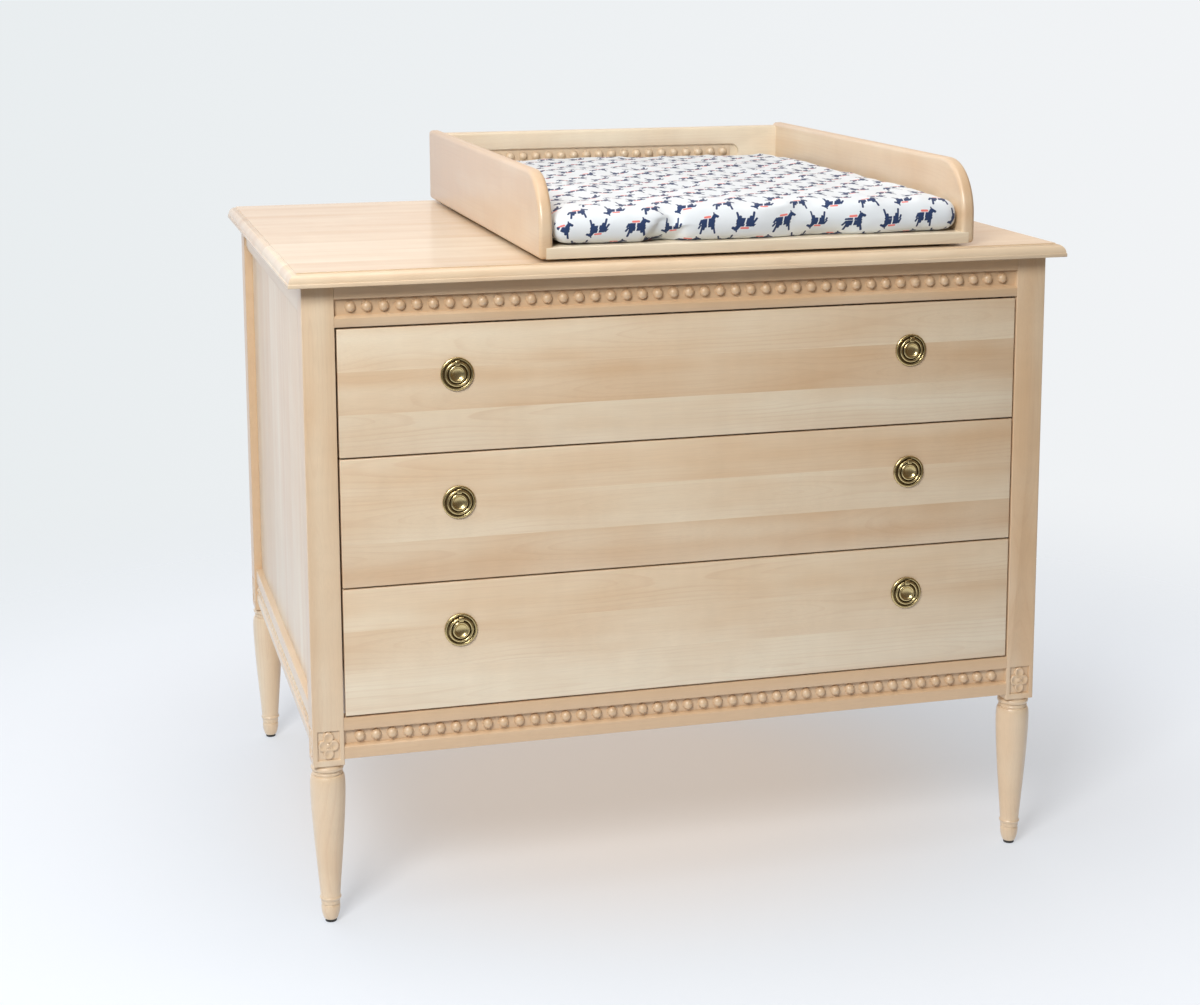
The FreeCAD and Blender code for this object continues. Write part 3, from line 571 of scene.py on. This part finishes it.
def quarter_turn(axis, turns=1):
    """A matrix that turns a quarter round an axis, as many times as asked."""
    return Matrix.Rotation(math.radians(90 * turns), 4, axis)


# %% [markdown]
# ## Carved rosettes
# The foot of each post has a sunk panel with a carved flower: four rounded petals, each hollowed like a
# spoon, about a button. The upper and lower petals are a little larger. The front posts carry it on two
# faces, the rear posts on their outer face.

# %% Carved rosettes
PETAL = [(0, 0), (6.4, 0), (6.4, 1.4), *arc((4.9, 1.5), 1.5, 0, 100, 4), (3.2, 2.0), (1.6, 1.4), (0, 1.2)]
PETAL_PLACES = [        # across and up from the middle, in mm, and how far it is stretched each way
    (7.1, 0, 1.0, 1.15), (-7.1, 0, 1.0, 1.15), (0, 10.6, 1.08, 1.2), (0, -10.6, 1.08, 1.2)]
BUTTON = [(0, 0), (4.1, 0), (4.1, 1.6), *arc((0, -1.2), 4.95, 34, 90, 6)]
POCKET_DEPTH = 3.0 * MM
CARVED_FACES = {"front_left": ("front", "left"), "front_right": ("front", "right"),
                "rear_left": ("left",), "rear_right": ("right",)}
post_boxes = {end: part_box("post_" + end) for end in POST_ENDS}
rosette_low, rosette_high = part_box("rosettes")
bm = bmesh.new()
for end, faces in CARVED_FACES.items():
    low, high = post_boxes[end]
    middle = (low + high) / 2
    middle.z = (rosette_low.z + rosette_high.z) / 2
    for face in faces:
        if face == "front":
            out = quarter_turn("X")
            middle_of_face = Vector((middle.x, low.y + POCKET_DEPTH, middle.z))
        else:
            side = -1 if face == "left" else 1
            out = quarter_turn("Z", side) @ quarter_turn("X")
            edge = low.x if side < 0 else high.x
            middle_of_face = Vector((edge - side * POCKET_DEPTH, middle.y, middle.z))
        stand = Matrix.Translation(middle_of_face) @ out
        for across, up, wide, tall in PETAL_PLACES:
            stretch = Matrix.Translation((across * MM, up * MM, 0)) @ Matrix.Diagonal((wide, tall, 1, 1))
            join(bm, turned(PETAL, 20, stand @ stretch))
        join(bm, turned(BUTTON, 18, stand))
rosettes = make_piece("rosettes", bm, "rosettes", crisp=50)
lacquered_birch(rosettes, "ZXY", warmth=0.8, figure=0.3)
print("rosettes", len(rosettes.data.polygons), "faces")

# %% [markdown]
# ## Turned legs
# From the top: a half-round cap under the post, a thin ring, a long vase that swells and then tapers to
# a raised collar, and a foot shaped like a small pear. The long curves are Bezier curves between a few
# radii, and the grooves are short steps that stay crisp. A black glide is set in under each foot.


# %% Turned legs
def curve(start, lean, arrive, end, steps):
    """Points of a Bezier curve in the section, without its first point."""
    points = [Vector((*p, 0)) for p in (start, lean, arrive, end)]
    return [tuple(p.xy) for p in geometry.interpolate_bezier(*points, steps + 1)][1:]


LEG = [
    (0, 4), (8.3, 4), (8.9, 4.6), *curve((8.9, 4.6), (10.6, 9), (12.3, 14), (12.3, 21), 6), (12.1, 23),
    (11.3, 24), (11.3, 25), (12.3, 26), (12.3, 30.2), (13.2, 31), *arc((12.2, 33.6), 1.9, -50, 50, 5),
    (13.2, 36), (12.9, 37.5), *curve((12.9, 38), (16.0, 78), (22.9, 150), (22.7, 189), 18),
    *curve((22.7, 189), (22.6, 194), (22.2, 199), (20.6, 201), 4), (19.0, 201.4), (19.0, 202.2),
    *arc((18.0, 203.9), 1.7, -60, 60, 5), (19.0, 205.8), (19.0, 206.6), *arc((17.2, 211.0), 4.1, -75, 75, 9),
    (18.2, 215.7), (18.2, 217), (0, 217)]
for end, (low, high) in post_boxes.items():
    middle = (low + high) / 2
    bm = turned(LEG, 48, Matrix.Translation((middle.x, middle.y, 0)))
    leg = make_piece("leg_" + end, bm, "legs", crisp=40)
    lacquered_birch(leg, "ZXY", warmth=0.72, figure=1.0)

GLIDE = [(0, 0), (6.6, 0), *arc((6.6, 0.9), 0.9, -90, 0, 3), (7.5, 3.9), (0, 3.9)]
glide_finish = moulded("moulded_nylon", "#4A4744", "#24221F", 0.42, 0.6 * MM)
bm = bmesh.new()
for low, high in post_boxes.values():
    middle = (low + high) / 2
    join(bm, turned(GLIDE, 32, Matrix.Translation((middle.x, middle.y, 0))))
wear(make_piece("glides", bm, "glides", slot="glide_plastic"), glide_finish)
print("legs and glides", len(post_boxes))

# %% [markdown]
# ## Drawers
# A front is glued up from three boards. The box behind it is plainer: thinner boards, lightly eased,
# with a loose bottom. The two sides are one CAD node, so its copy is cut in two by which half a point
# lies in.

# %% Drawers
FRONT_ARRIS, SIDE_ARRIS, BACK_ARRIS, BOTTOM_ARRIS = 1.1 * MM, 1.5 * MM, 1.2 * MM, 0.5 * MM
BOX = {"slot": "drawer_birch"}
for number in (1, 2, 3):
    drawer = f"drawer_{number}_"
    birch_board(drawer + "front", "XZY", FRONT_ARRIS, boards=3, warmth=0.5, figure=1.0)
    bm = merged(drawer + "sides")
    for side, keep in (("left", -1), ("right", 1)):
        board = bm.copy()
        bmesh.ops.delete(board, geom=[v for v in board.verts if v.co.x * keep < 0], context="VERTS")
        round_over(board, outer_edges(board, 15 * MM), SIDE_ARRIS)
        piece = make_piece(f"{drawer}{side}_side", board, drawer + "sides", **BOX)
        lacquered_birch(piece, "YZX", warmth=0.35, figure=0.7)
    bm.free()
    birch_board(drawer + "back", "XZY", BACK_ARRIS, **BOX, warmth=0.35, figure=0.7)
    birch_board(drawer + "bottom", "XYZ", BOTTOM_ARRIS, **BOX, boards=4, warmth=0.3, figure=0.8)
print("birch pieces so far", birch_count)

# %% [markdown]
# ## Slides, bolts and screws
# These keep their CAD shape, because folded steel sheet is what the CAD draws well, and only take their
# finish.

# %% Slides, bolts and screws
slide_finish = zinc_plated_steel("zinc_plated_slide_steel", 1.2 * MM)
fastener_finish = zinc_plated_steel("zinc_plated_fastener_steel", 0.8 * MM)
slides = [node for name, node in frame["nodes"].items() if name.startswith("slide_")]
for node in slides:
    wear(node, slide_finish)
for name in ("leg_bolts", "top_screws"):
    wear(frame["nodes"][name], fastener_finish)
print("slide members", len(slides))

# %% [markdown]
# ## Ring pulls
# A spun plate with a rolled rim, a trough, and a boss in the middle with a shallow dish. A lug at the
# top of the trough holds a ring that lies down in it. All are round, so they are turned, and the lug is a
# small block with a rounded front.

# %% Ring pulls
PLATE = [
    (0, 0), (21.2, 0), *arc((19.6, 1.7), 1.9, -60, 190, 14), (17.0, 1.5), (12.0, 1.5),
    *curve((12.0, 1.5), (11.7, 1.6), (11.8, 2.6), (11.7, 3.4), 4), *arc((9.7, 3.6), 2.0, 0, 150, 10),
    *curve((7.9, 4.5), (7.0, 3.4), (5.0, 2.5), (0, 2.3), 6)]
RING_MEAN, RING_WIRE = 14.5 * MM, 1.8 * MM      # radius of the ring, and of the wire it is made of
LUG_WIDE, LUG_HIGH, LUG_ROUND = 6.5 * MM, 6.8 * MM, 2.0 * MM
LUG_PROUD = 3.4 * MM        # in front of the ring's middle
LUG_ROOT = 1.0 * MM         # in front of the drawer
brass = antique_brass()
out = quarter_turn("X")
for number in (1, 2, 3):
    plates = bmesh.new()
    for side in ("left", "right"):
        ring_low, ring_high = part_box(f"ring_{side}_{number}")
        hub = (ring_low + ring_high) / 2
        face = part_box(f"drawer_{number}_front")[0].y
        join(plates, turned(PLATE, 64, Matrix.Translation((hub.x, face, hub.z)) @ out))
        lug_low = Vector((hub.x - LUG_WIDE / 2, hub.y - LUG_PROUD, hub.z + RING_MEAN - LUG_HIGH / 2))
        lug_high = Vector((hub.x + LUG_WIDE / 2, face - LUG_ROOT, hub.z + RING_MEAN + LUG_HIGH / 2))
        lug = solid_block(lug_low, lug_high)
        proud = [e for e in lug.edges if all(v.co.y < lug_high.y - MM for v in e.verts)]
        round_over(lug, proud, LUG_ROUND, segments=5)
        join(plates, lug)
        ring = bmesh.new()
        section = bmesh.ops.create_circle(ring, segments=14, radius=RING_WIRE,
                                          matrix=Matrix.Translation((RING_MEAN, 0, 0)) @ out)["verts"]
        loop = list({e for v in section for e in v.link_edges})
        bmesh.ops.spin(ring, geom=section + loop, cent=(0, 0, 0), axis=(0, 0, 1), angle=2 * math.pi,
                       steps=56, use_merge=True)
        bmesh.ops.transform(ring, matrix=Matrix.Translation(hub) @ out, verts=ring.verts)
        wear(make_piece(f"ring_{side}_{number}", ring, f"ring_{side}_{number}", crisp=60,
                        slot="antique_brass"), brass)
    wear(make_piece(f"pull_plates_{number}", plates, f"pull_plates_{number}", crisp=40,
                    slot="antique_brass"), brass)
print("ring pulls", 2 * number)

# %% [markdown]
# ## Changing tray
# Two long boards with a large round front corner stand beside a plate, and a lower board with a beaded
# slot closes the back. Bevelling one edge by the radius of the corner gives the quarter round, and a
# second bevel rounds every arris generously, because a parent leans on them.

# %% Tray: side boards
TRAY_CORNER = 72 * MM
TRAY_ROUND = 5.5 * MM
PLATE_PROUD = 0.4 * MM      # the plate shows in front of the boards it is housed in
for side in ("left", "right"):
    low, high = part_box(f"tray_{side}_board")
    low.y += PLATE_PROUD
    bm = solid_block(low, high)
    corner = [e for e in bm.edges if all(v.co.y < low.y + MM and v.co.z > high.z - MM for v in e.verts)]
    round_over(bm, corner, TRAY_CORNER, segments=18)
    round_over(bm, outer_edges(bm, 2 * MM, sharper_than=60), TRAY_ROUND, segments=5)
    board = make_piece(f"tray_{side}_board", bm, f"tray_{side}_board")
    lacquered_birch(board, "YZX", warmth=0.95, figure=0.8)
    print(board.name, len(board.data.polygons), "faces")

# %% [markdown]
# The back board's crest is rounded, and the mouth of its slot is only broken with sandpaper. The plate
# is eased along its length alone, since its ends are housed in the side boards.

# %% Tray: back board, beads and plate
CREST_ROUND, MOUTH_ROUND, PLATE_ROUND = 5 * MM, 0.7 * MM, 1.4 * MM
SLOT_MARGIN = 20 * MM       # the slot keeps at least this far from the board's upper and lower edge
NEAR = 0.1 * MM
low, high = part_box("tray_back_board")
bm = merged("tray_back_board")
crest = [e for e in bm.edges if all(v.co.z > high.z - NEAR for v in e.verts) and e.calc_length() > 0.1]
round_over(bm, crest, CREST_ROUND, segments=5)
mouth = [e for e in bm.edges if all(abs(v.co.y - low.y) < NEAR and v.co.z < high.z - SLOT_MARGIN
                                    and v.co.z > low.z + SLOT_MARGIN for v in e.verts)]
round_over(bm, mouth, MOUTH_ROUND, segments=2)
# The back board's low warmth makes it paler: painted light, making up for the shade it stands in at the back
# of the tray.
lacquered_birch(make_piece("tray_back_board", bm, "tray_back_board"), "XZY", warmth=0.2, figure=0.7)

bm = bmesh.new()
count = bead_row(bm, *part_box("tray_beads"), along=0, face=1, outward=-1)
lacquered_birch(make_piece("tray_beads", bm, "tray_beads", crisp=60), "XZY", warmth=0.45, figure=0.4)
bm = merged("tray_plate")
lengthways = [e for e in outer_edges(bm, RAIL_EDGE) if abs(e.verts[0].co.x - e.verts[1].co.x) > RAIL_EDGE]
round_over(bm, lengthways, PLATE_ROUND)
plate = make_piece("tray_plate", bm, "tray_plate")
lacquered_birch(plate, "XYZ", boards=5, warmth=0.1, figure=0.7)
print("tray beads", count)

# %% [markdown]
# Four low rubber pads keep the tray off the worktop.

# %% Tray: pads
PAD = [(0, 0), (9.2, 0), *arc((9.2, 0.8), 0.8, -90, 0, 3), (10.0, 3.5), (0, 3.5)]
PAD_RADIUS = 10 * MM
pad_finish = moulded("moulded_rubber", "#3B3835", "#1F1D1B", 0.7, 0.4 * MM)
low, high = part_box("tray_pads")
bm = bmesh.new()
for x in (low.x + PAD_RADIUS, high.x - PAD_RADIUS):
    for y in (low.y + PAD_RADIUS, high.y - PAD_RADIUS):
        join(bm, turned(PAD, 32, Matrix.Translation((x, y, low.z))))
pads = make_piece("tray_pads", bm, "tray_pads", slot="pad_rubber")
wear(pads, pad_finish)
print("tray pads", len(pads.data.polygons), "faces")

# %% [markdown]
# ## Changing mat
# The mat is a foam pad in a loose cotton cover. It starts as a block with rounded edges, remeshed into
# even cells.

# %% Changing mat: the block
MAT_ROUND = 17 * MM
MAT_SHRINK = 4 * MM         # the foam is this much smaller all round than the cover's space
FRONT_SHARE = 0.6           # but less at the front, the left and the underside
VOXEL = 5.5 * MM
mat_low, mat_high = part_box("changing_mat")
spare = Vector((MAT_SHRINK, MAT_SHRINK, MAT_SHRINK))
bm = solid_block(mat_low + spare * FRONT_SHARE, mat_high - spare)
round_over(bm, bm.edges[:], MAT_ROUND, segments=5)
mat = make_piece("changing_mat", bm, "changing_mat", crisp=180, slot="mat_cotton")


def apply_modifiers(piece):
    """Make what the modifiers give the piece's own mesh."""
    graph = bpy.context.evaluated_depsgraph_get()
    mesh = bpy.data.meshes.new_from_object(piece.evaluated_get(graph))
    piece.modifiers.clear()
    piece.data = mesh


cells = mat.modifiers.new("cells", "REMESH")
cells.mode = "VOXEL"
cells.voxel_size = VOXEL
cells.use_smooth_shade = True
apply_modifiers(mat)
print("mat cells", len(mat.data.polygons))

# %% [markdown]
# ## How the print lies
# The print is laid out in metres of cloth while the block is still plain, so that it moves with every
# wrinkle. One length of cloth runs over the top and down the front, where y + z measures it, and carries
# on under the mat, where y turns back. The sides and the back have pieces of their own.

# %% Print layout
layout = mat.data.uv_layers.new(name="cover")
front = mat_low.y + MAT_SHRINK
TURNED = 0.75               # a face is a side or the back if its normal leans this far that way
for face in mat.data.polygons:
    for corner in face.loop_indices:
        spot = mat.data.vertices[mat.data.loops[corner].vertex_index].co
        if abs(face.normal.x) > TURNED:
            layout.data[corner].uv = (spot.y, spot.z)
        elif face.normal.y > TURNED:
            layout.data[corner].uv = (spot.x, spot.z)
        elif face.normal.z < 0:
            layout.data[corner].uv = (spot.x, spot.z - spot.y + 2 * front)
        else:
            layout.data[corner].uv = (spot.x, spot.y + spot.z)
print("print layout", len(layout.data), "corners")

# %% [markdown]
# ## The cover is simulated
# The cloth is made a little larger than the foam, and a light pressure fills it, so that the spare cloth
# gathers into soft wrinkles. A faint unevenness beforehand gives the wrinkles somewhere to start.

# %% Simulate the cover
SPARE_CLOTH = 0.09          # how much longer the cover is than the foam
UNEVEN, UNEVEN_SCALE = 3.5, 13.0    # in mm, and how close together
SIM_FRAMES = 20
PERCALE = {"quality": 5, "mass": 0.3, "tension_stiffness": 12, "compression_stiffness": 12,
           "shear_stiffness": 5, "bending_stiffness": 0.03, "shrink_min": -SPARE_CLOTH,
           "use_pressure": True, "uniform_pressure_force": 4}
before = [v.co.copy() for v in mat.data.vertices]
facing = [v.normal.copy() for v in mat.data.vertices]
for vertex, normal in zip(mat.data.vertices, facing):
    vertex.co += normal * noise.noise(vertex.co * UNEVEN_SCALE) * UNEVEN * MM
cloth = mat.modifiers.new("cover", "CLOTH")
for setting, value in PERCALE.items():
    setattr(cloth.settings, setting, value)
cloth.settings.effector_weights.gravity = 0
cloth.point_cache.frame_end = SIM_FRAMES
for number in range(1, SIM_FRAMES + 1):
    bpy.context.scene.frame_set(number)
apply_modifiers(mat)
bpy.context.scene.frame_set(1)
furthest = max((v.co - start).length for v, start in zip(mat.data.vertices, before))
print("cover", len(mat.data.vertices), "points, furthest move", round(furthest / MM, 1), "mm")

# %% [markdown]
# ## The cover settles in the tray
# The foam holds the cloth, so a point may only have moved a few millimetres. Shallow folds and narrow
# creases are added on top, where a child has lain. Nothing may pass through the boards of the tray.

# %% Settle the cover
MAT_MOVE = 4.5 * MM
FOLD, CREASE = 3.4, 2.2     # in mm
FOLD_SCALE = (9, 15)
CREASE_SCALE = (12, 7)
CREASE_SHARP = 6
for vertex, start, normal in zip(mat.data.vertices, before, facing):
    move = vertex.co - start
    if move.length > MAT_MOVE:
        move *= MAT_MOVE / move.length
    spot = start + move
    if normal.z > 0:
        fold = noise.noise(Vector((spot.x * FOLD_SCALE[0], spot.y * FOLD_SCALE[1], 0)))
        ridge = abs(noise.noise(Vector((spot.x * CREASE_SCALE[0], spot.y * CREASE_SCALE[1], 5))))
        crease = 1 - min(1, CREASE_SHARP * ridge)
        spot.z += normal.z * (FOLD * fold + CREASE * crease) * MM
    spot.x = min(max(spot.x, mat_low.x), mat_high.x)
    spot.y = min(spot.y, mat_high.y)
    spot.z = max(spot.z, mat_low.z)
    vertex.co = spot
soften = mat.modifiers.new("soften", "SUBSURF")
soften.levels = soften.render_levels = 1
apply_modifiers(mat)
mat.data.shade_smooth()
print("mat", len(mat.data.polygons), "faces")

# %% [markdown]
# ## Printed cotton
# The cover is a white percale, printed with small navy ponies, each under a coral saddle bar. A pony is
# a handful of capsules: a line with a thickness, for the body, the neck, the head and the legs. The
# distance to a capsule is a short sum, and the nearest capsule wins. The cloth is laid out in cells,
# each row is shifted by half a cell, and every other pony stands on its head.

# %% Printed cotton
CELL_WIDE, CELL_HIGH = 49 * MM, 32 * MM
THREAD = 0.9 * MM           # percale is finer; drawn as coarse as it needs to show
WAVES = 3.2                 # a wave texture of scale 1 has about this many waves in a metre
DRAPE = 17 * MM             # how far the cloth is pulled out of true
INK_EDGE = 0.25             # half the softness of a printed edge, in mm
PONY = [        # from, to and radius of each capsule, in mm
    ((-6.8, 1.2), (6.0, 1.4), 4.1), ((6.0, 3.0), (9.6, 8.6), 2.9), ((9.6, 9.0), (13.6, 6.8), 2.0),
    ((9.0, 10.2), (8.4, 13.2), 1.0), ((-9.0, -0.5), (-11.4, -12.4), 1.4), ((-6.6, -1.5), (-7.4, -5.0), 1.8),
    ((5.4, -1.5), (5.4, -5.0), 1.8), ((7.2, -0.2), (9.4, -12.4), 1.4), ((-10.0, 3.6), (-14.0, -3.0), 1.3)]
SADDLE = ((-4.4, 7.4), (2.8, 7.7), 1.5)
GIRTH = ((-0.2, 6.0), (-2.2, -3.5), 0.8)


def printed(tree, point, shapes):
    """How much ink covers a point, for a figure made of capsules."""
    nearest = None
    for start, end, radius in shapes:
        way = Vector((*end, 0)) - Vector((*start, 0))
        offset = add(tree, "VectorMath", [point, (*start, 0)], operation="SUBTRACT")
        reach = add(tree, "VectorMath", [offset, way], operation="DOT_PRODUCT").node.outputs["Value"]
        share = add(tree, "Math", [reach, way.length_squared], operation="DIVIDE", use_clamp=True)
        beside = add(tree, "VectorMath", {0: way, "Scale": share}, operation="SCALE")
        gap = add(tree, "VectorMath", [offset, beside], operation="DISTANCE").node.outputs["Value"]
        gap = add(tree, "Math", [gap, radius], operation="SUBTRACT")
        nearest = gap if nearest is None else add(tree, "Math", [nearest, gap], operation="MINIMUM")
    return add(tree, "MapRange", {"Value": nearest, "From Min": INK_EDGE, "From Max": -INK_EDGE})


def printed_cotton():
    """White percale with navy ponies and coral saddles."""
    material, tree = new_material("printed_cotton_percale")
    cloth_at = add(tree, "TexCoord").node.outputs["UV"]
    drape = add(tree, "TexNoise", {"Vector": cloth_at, "Scale": 11.0, "Detail": 1.0}).node.outputs["Color"]
    drape = add(tree, "VectorMath", [drape, (0.5, 0.5, 0.5)], operation="SUBTRACT")
    drape = add(tree, "VectorMath", [drape, (DRAPE,) * 3, cloth_at], **TIMES_PLUS)
    u, v, _ = add(tree, "SeparateXYZ", {"Vector": drape}).node.outputs
    v_cells = add(tree, "Math", [v, 1 / CELL_HIGH], operation="MULTIPLY")
    row = add(tree, "Math", [v_cells], operation="FLOOR")
    u_cells = add(tree, "Math", [u, 1 / CELL_WIDE], operation="MULTIPLY")
    u_cells = add(tree, "Math", [row, 0.5, u_cells], **TIMES_PLUS)
    column = add(tree, "Math", [u_cells], operation="FLOOR")
    flip = add(tree, "Math", [row, column], operation="ADD")
    flip = add(tree, "Math", [flip, 2.0], operation="FLOORED_MODULO")
    flip = add(tree, "Math", [flip, -2.0, 1.0], **TIMES_PLUS)
    inside = []
    for cells, size in ((u_cells, CELL_WIDE), (v_cells, CELL_HIGH)):
        share = add(tree, "Math", [cells], operation="FRACT")
        share = add(tree, "Math", [share, size / MM, -size / MM / 2], **TIMES_PLUS)
        inside.append(add(tree, "Math", [share, flip], operation="MULTIPLY"))
    point = add(tree, "CombineXYZ", {"X": inside[0], "Y": inside[1]})
    navy = printed(tree, point, PONY)
    girth = printed(tree, point, [GIRTH])
    navy = add(tree, "Math", [navy, girth], operation="SUBTRACT", use_clamp=True)
    coral = printed(tree, point, [SADDLE])
    threads = []
    for turn_by in (0.0, math.radians(90)):
        turned_at = add(tree, "Mapping", {"Vector": cloth_at, "Rotation": (0, 0, turn_by)})
        threads.append(add(tree, "TexWave", {"Vector": turned_at, "Scale": 1 / THREAD / WAVES,
                                             "Distortion": 0.6, "Detail": 1.0}).node.outputs["Fac"])
    weave = add(tree, "Math", [threads[0], threads[1]], operation="MAXIMUM")
    uneven = add(tree, "TexNoise", {"Vector": cloth_at, "Scale": 22.0, "Detail": 3.0})
    ground = add(tree, "Mix", {"Factor": uneven, "A": linear("#DCE4EA"), "B": linear("#EEF3F7")}, **COLOURS)
    colour = add(tree, "Mix", {"Factor": navy, "A": ground, "B": linear("#1F3763")}, **COLOURS)
    colour = add(tree, "Mix", {"Factor": coral, "A": colour, "B": linear("#F08078")}, **COLOURS)
    relief = add(tree, "Bump", {"Height": weave, "Strength": 0.15, "Distance": 0.15 * MM})
    shader = add(tree, "BsdfPrincipled", {
        "Base Color": colour, "Roughness": 0.85, "IOR": 1.5, "Sheen Weight": 0.15,
        "Sheen Roughness": 0.5, "Normal": relief})
    add(tree, "OutputMaterial", {"Surface": shader})
    return material


wear(mat, printed_cotton())
print("cover printed in cells of", CELL_WIDE, "by", CELL_HIGH, "m")

# %% [markdown]
# ## Studio
# A pale floor fades into a pale background, so there is no horizon. It glows a little, more so further out.
# The glow is painted light: it lifts the shadow under the table and evens out the floor, and it is warmer
# under the wood as painted bounce from the wood.

# %% Studio floor
FLOOR_RADIUS = 14.0
FADE_FROM, FADE_TO = 0.75, 2.2          # distances from the middle, in metres
# where the floor's painted warm bounce from the wood fades to cool
PAINTED_BOUNCE_FROM, PAINTED_BOUNCE_TO = 0.2, 0.65
BRIGHTER_FROM, BRIGHTER_TO = 0.3, 1.2
GLOW_NEAR, GLOW_FAR = 0.41, 0.57
bm = bmesh.new()
bmesh.ops.create_circle(bm, segments=96, radius=FLOOR_RADIUS, cap_ends=True)
mesh = bpy.data.meshes.new("studio_floor")
bm.to_mesh(mesh)
bm.free()
studio_floor = bpy.data.objects.new("studio_floor", mesh)
bpy.context.scene.collection.objects.link(studio_floor)
studio_floor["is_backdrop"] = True
material, tree = new_material("painted_studio_floor")
place = add(tree, "TexCoord").node.outputs["Object"]
away = add(tree, "VectorMath", [place], operation="LENGTH").node.outputs["Value"]
fade = add(tree, "MapRange", {"Value": away, "From Min": FADE_FROM, "From Max": FADE_TO}, **SMOOTH)
paint = add(tree, "BsdfDiffuse", {"Color": linear("#AEB1B5")})
# painted bounce: the glow is warm under the wood and cool further out
outward = add(tree, "MapRange", {"Value": away, "From Min": PAINTED_BOUNCE_FROM, "From Max": PAINTED_BOUNCE_TO}, **SMOOTH)
tint = add(tree, "Mix", {"Factor": outward, "A": linear("#FFF1E6"), "B": linear("#EEF6FF")}, **COLOURS)
# painted glow: it lifts the shadow under the table, and further out it keeps the floor evenly bright
painted_glow = add(tree, "MapRange", {"Value": away, "From Min": BRIGHTER_FROM, "From Max": BRIGHTER_TO,
                              "To Min": GLOW_NEAR, "To Max": GLOW_FAR}, **SMOOTH)
painted_glow = add(tree, "Emission", {"Color": tint, "Strength": painted_glow})
lit = add(tree, "AddShader", [paint, painted_glow])
clear = add(tree, "BsdfTransparent")
surface = add(tree, "MixShader", {"Fac": fade, 1: lit, 2: clear})
add(tree, "OutputMaterial", {"Surface": surface})
wear(studio_floor, material)
print("floor fades out by", FADE_TO, "m")

# %% [markdown]
# The walls light the scene too: bright behind, dim in front, and a little cooler to the left. What the
# camera sees of them is a plain pale grey.

# %% Surroundings
TO_EAST, TO_NORTH, UPWARD = -0.17, 0.7, 0.25    # what each direction adds to the light
LEVEL, LEAST = 0.33, 0.15
world = bpy.data.worlds.new("studio")
world.use_nodes = True
bpy.context.scene.world = world
tree = world.node_tree
tree.nodes.clear()
way = add(tree, "TexCoord")
east, north, up = add(tree, "SeparateXYZ", {"Vector": way}).node.outputs
side_share = add(tree, "MapRange", {"Value": east, "From Min": -0.15, "From Max": 0.75})
shown = add(tree, "Mix", {"Factor": side_share, "A": linear("#E7ECEE"), "B": linear("#F5F6F8")}, **COLOURS)
seen = add(tree, "Background", {"Color": shown, "Strength": 1.0})
power = add(tree, "Math", [east, TO_EAST, LEVEL], **TIMES_PLUS)
power = add(tree, "Math", [north, TO_NORTH, power], **TIMES_PLUS)
power = add(tree, "Math", [up, UPWARD, power], **TIMES_PLUS)
power = add(tree, "Math", [power, LEAST], operation="MAXIMUM")
warm_side = add(tree, "MapRange", {"Value": east, "From Min": -0.6, "From Max": 0.6})
tint = add(tree, "Mix", {"Factor": warm_side, "A": linear("#EEF4FF"), "B": linear("#FFE3C8")}, **COLOURS)
fill = add(tree, "Background", {"Color": tint, "Strength": power})
camera_ray = add(tree, "LightPath")
both = add(tree, "MixShader", {"Fac": camera_ray, 1: fill, 2: seen})
add(tree, "OutputWorld", {"Surface": both})

# %% [markdown]
# The key light is a large soft box, high in front and to the left, so that the overhang of the top
# throws a soft shadow on the rail. A weaker one overhead fills the tray.


# %% Soft boxes
def soft_box(name, spot, aim, size, power, colour):
    """A square area light that points at `aim`."""
    light = bpy.data.lights.new(name, "AREA")
    light.size = size
    light.energy = power
    light.color = linear(colour)[:3]
    lamp = bpy.data.objects.new(name, light)
    way = Vector(aim) - Vector(spot)
    lamp.matrix_world = Matrix.Translation(spot) @ way.to_track_quat("-Z", "Y").to_matrix().to_4x4()
    bpy.context.scene.collection.objects.link(lamp)
    print(name, "light,", power, "W")


soft_box("key", (-1.7, -2.65, 2.6), (-0.1, -0.3, 0.5), 1.15, 101, "#FCFBF9")
soft_box("overhead", (-0.4, -0.5, 3.1), (-0.1, 0.0, 0.8), 1.6, 19, "#FFFDFA")

# %% [markdown]
# ## Bounds
# The box that the visible pieces fill, without the studio floor. The visual model has to stay
# within the CAD model's box, apart from a little room for cloth.

# %% Bounds
low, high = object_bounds()
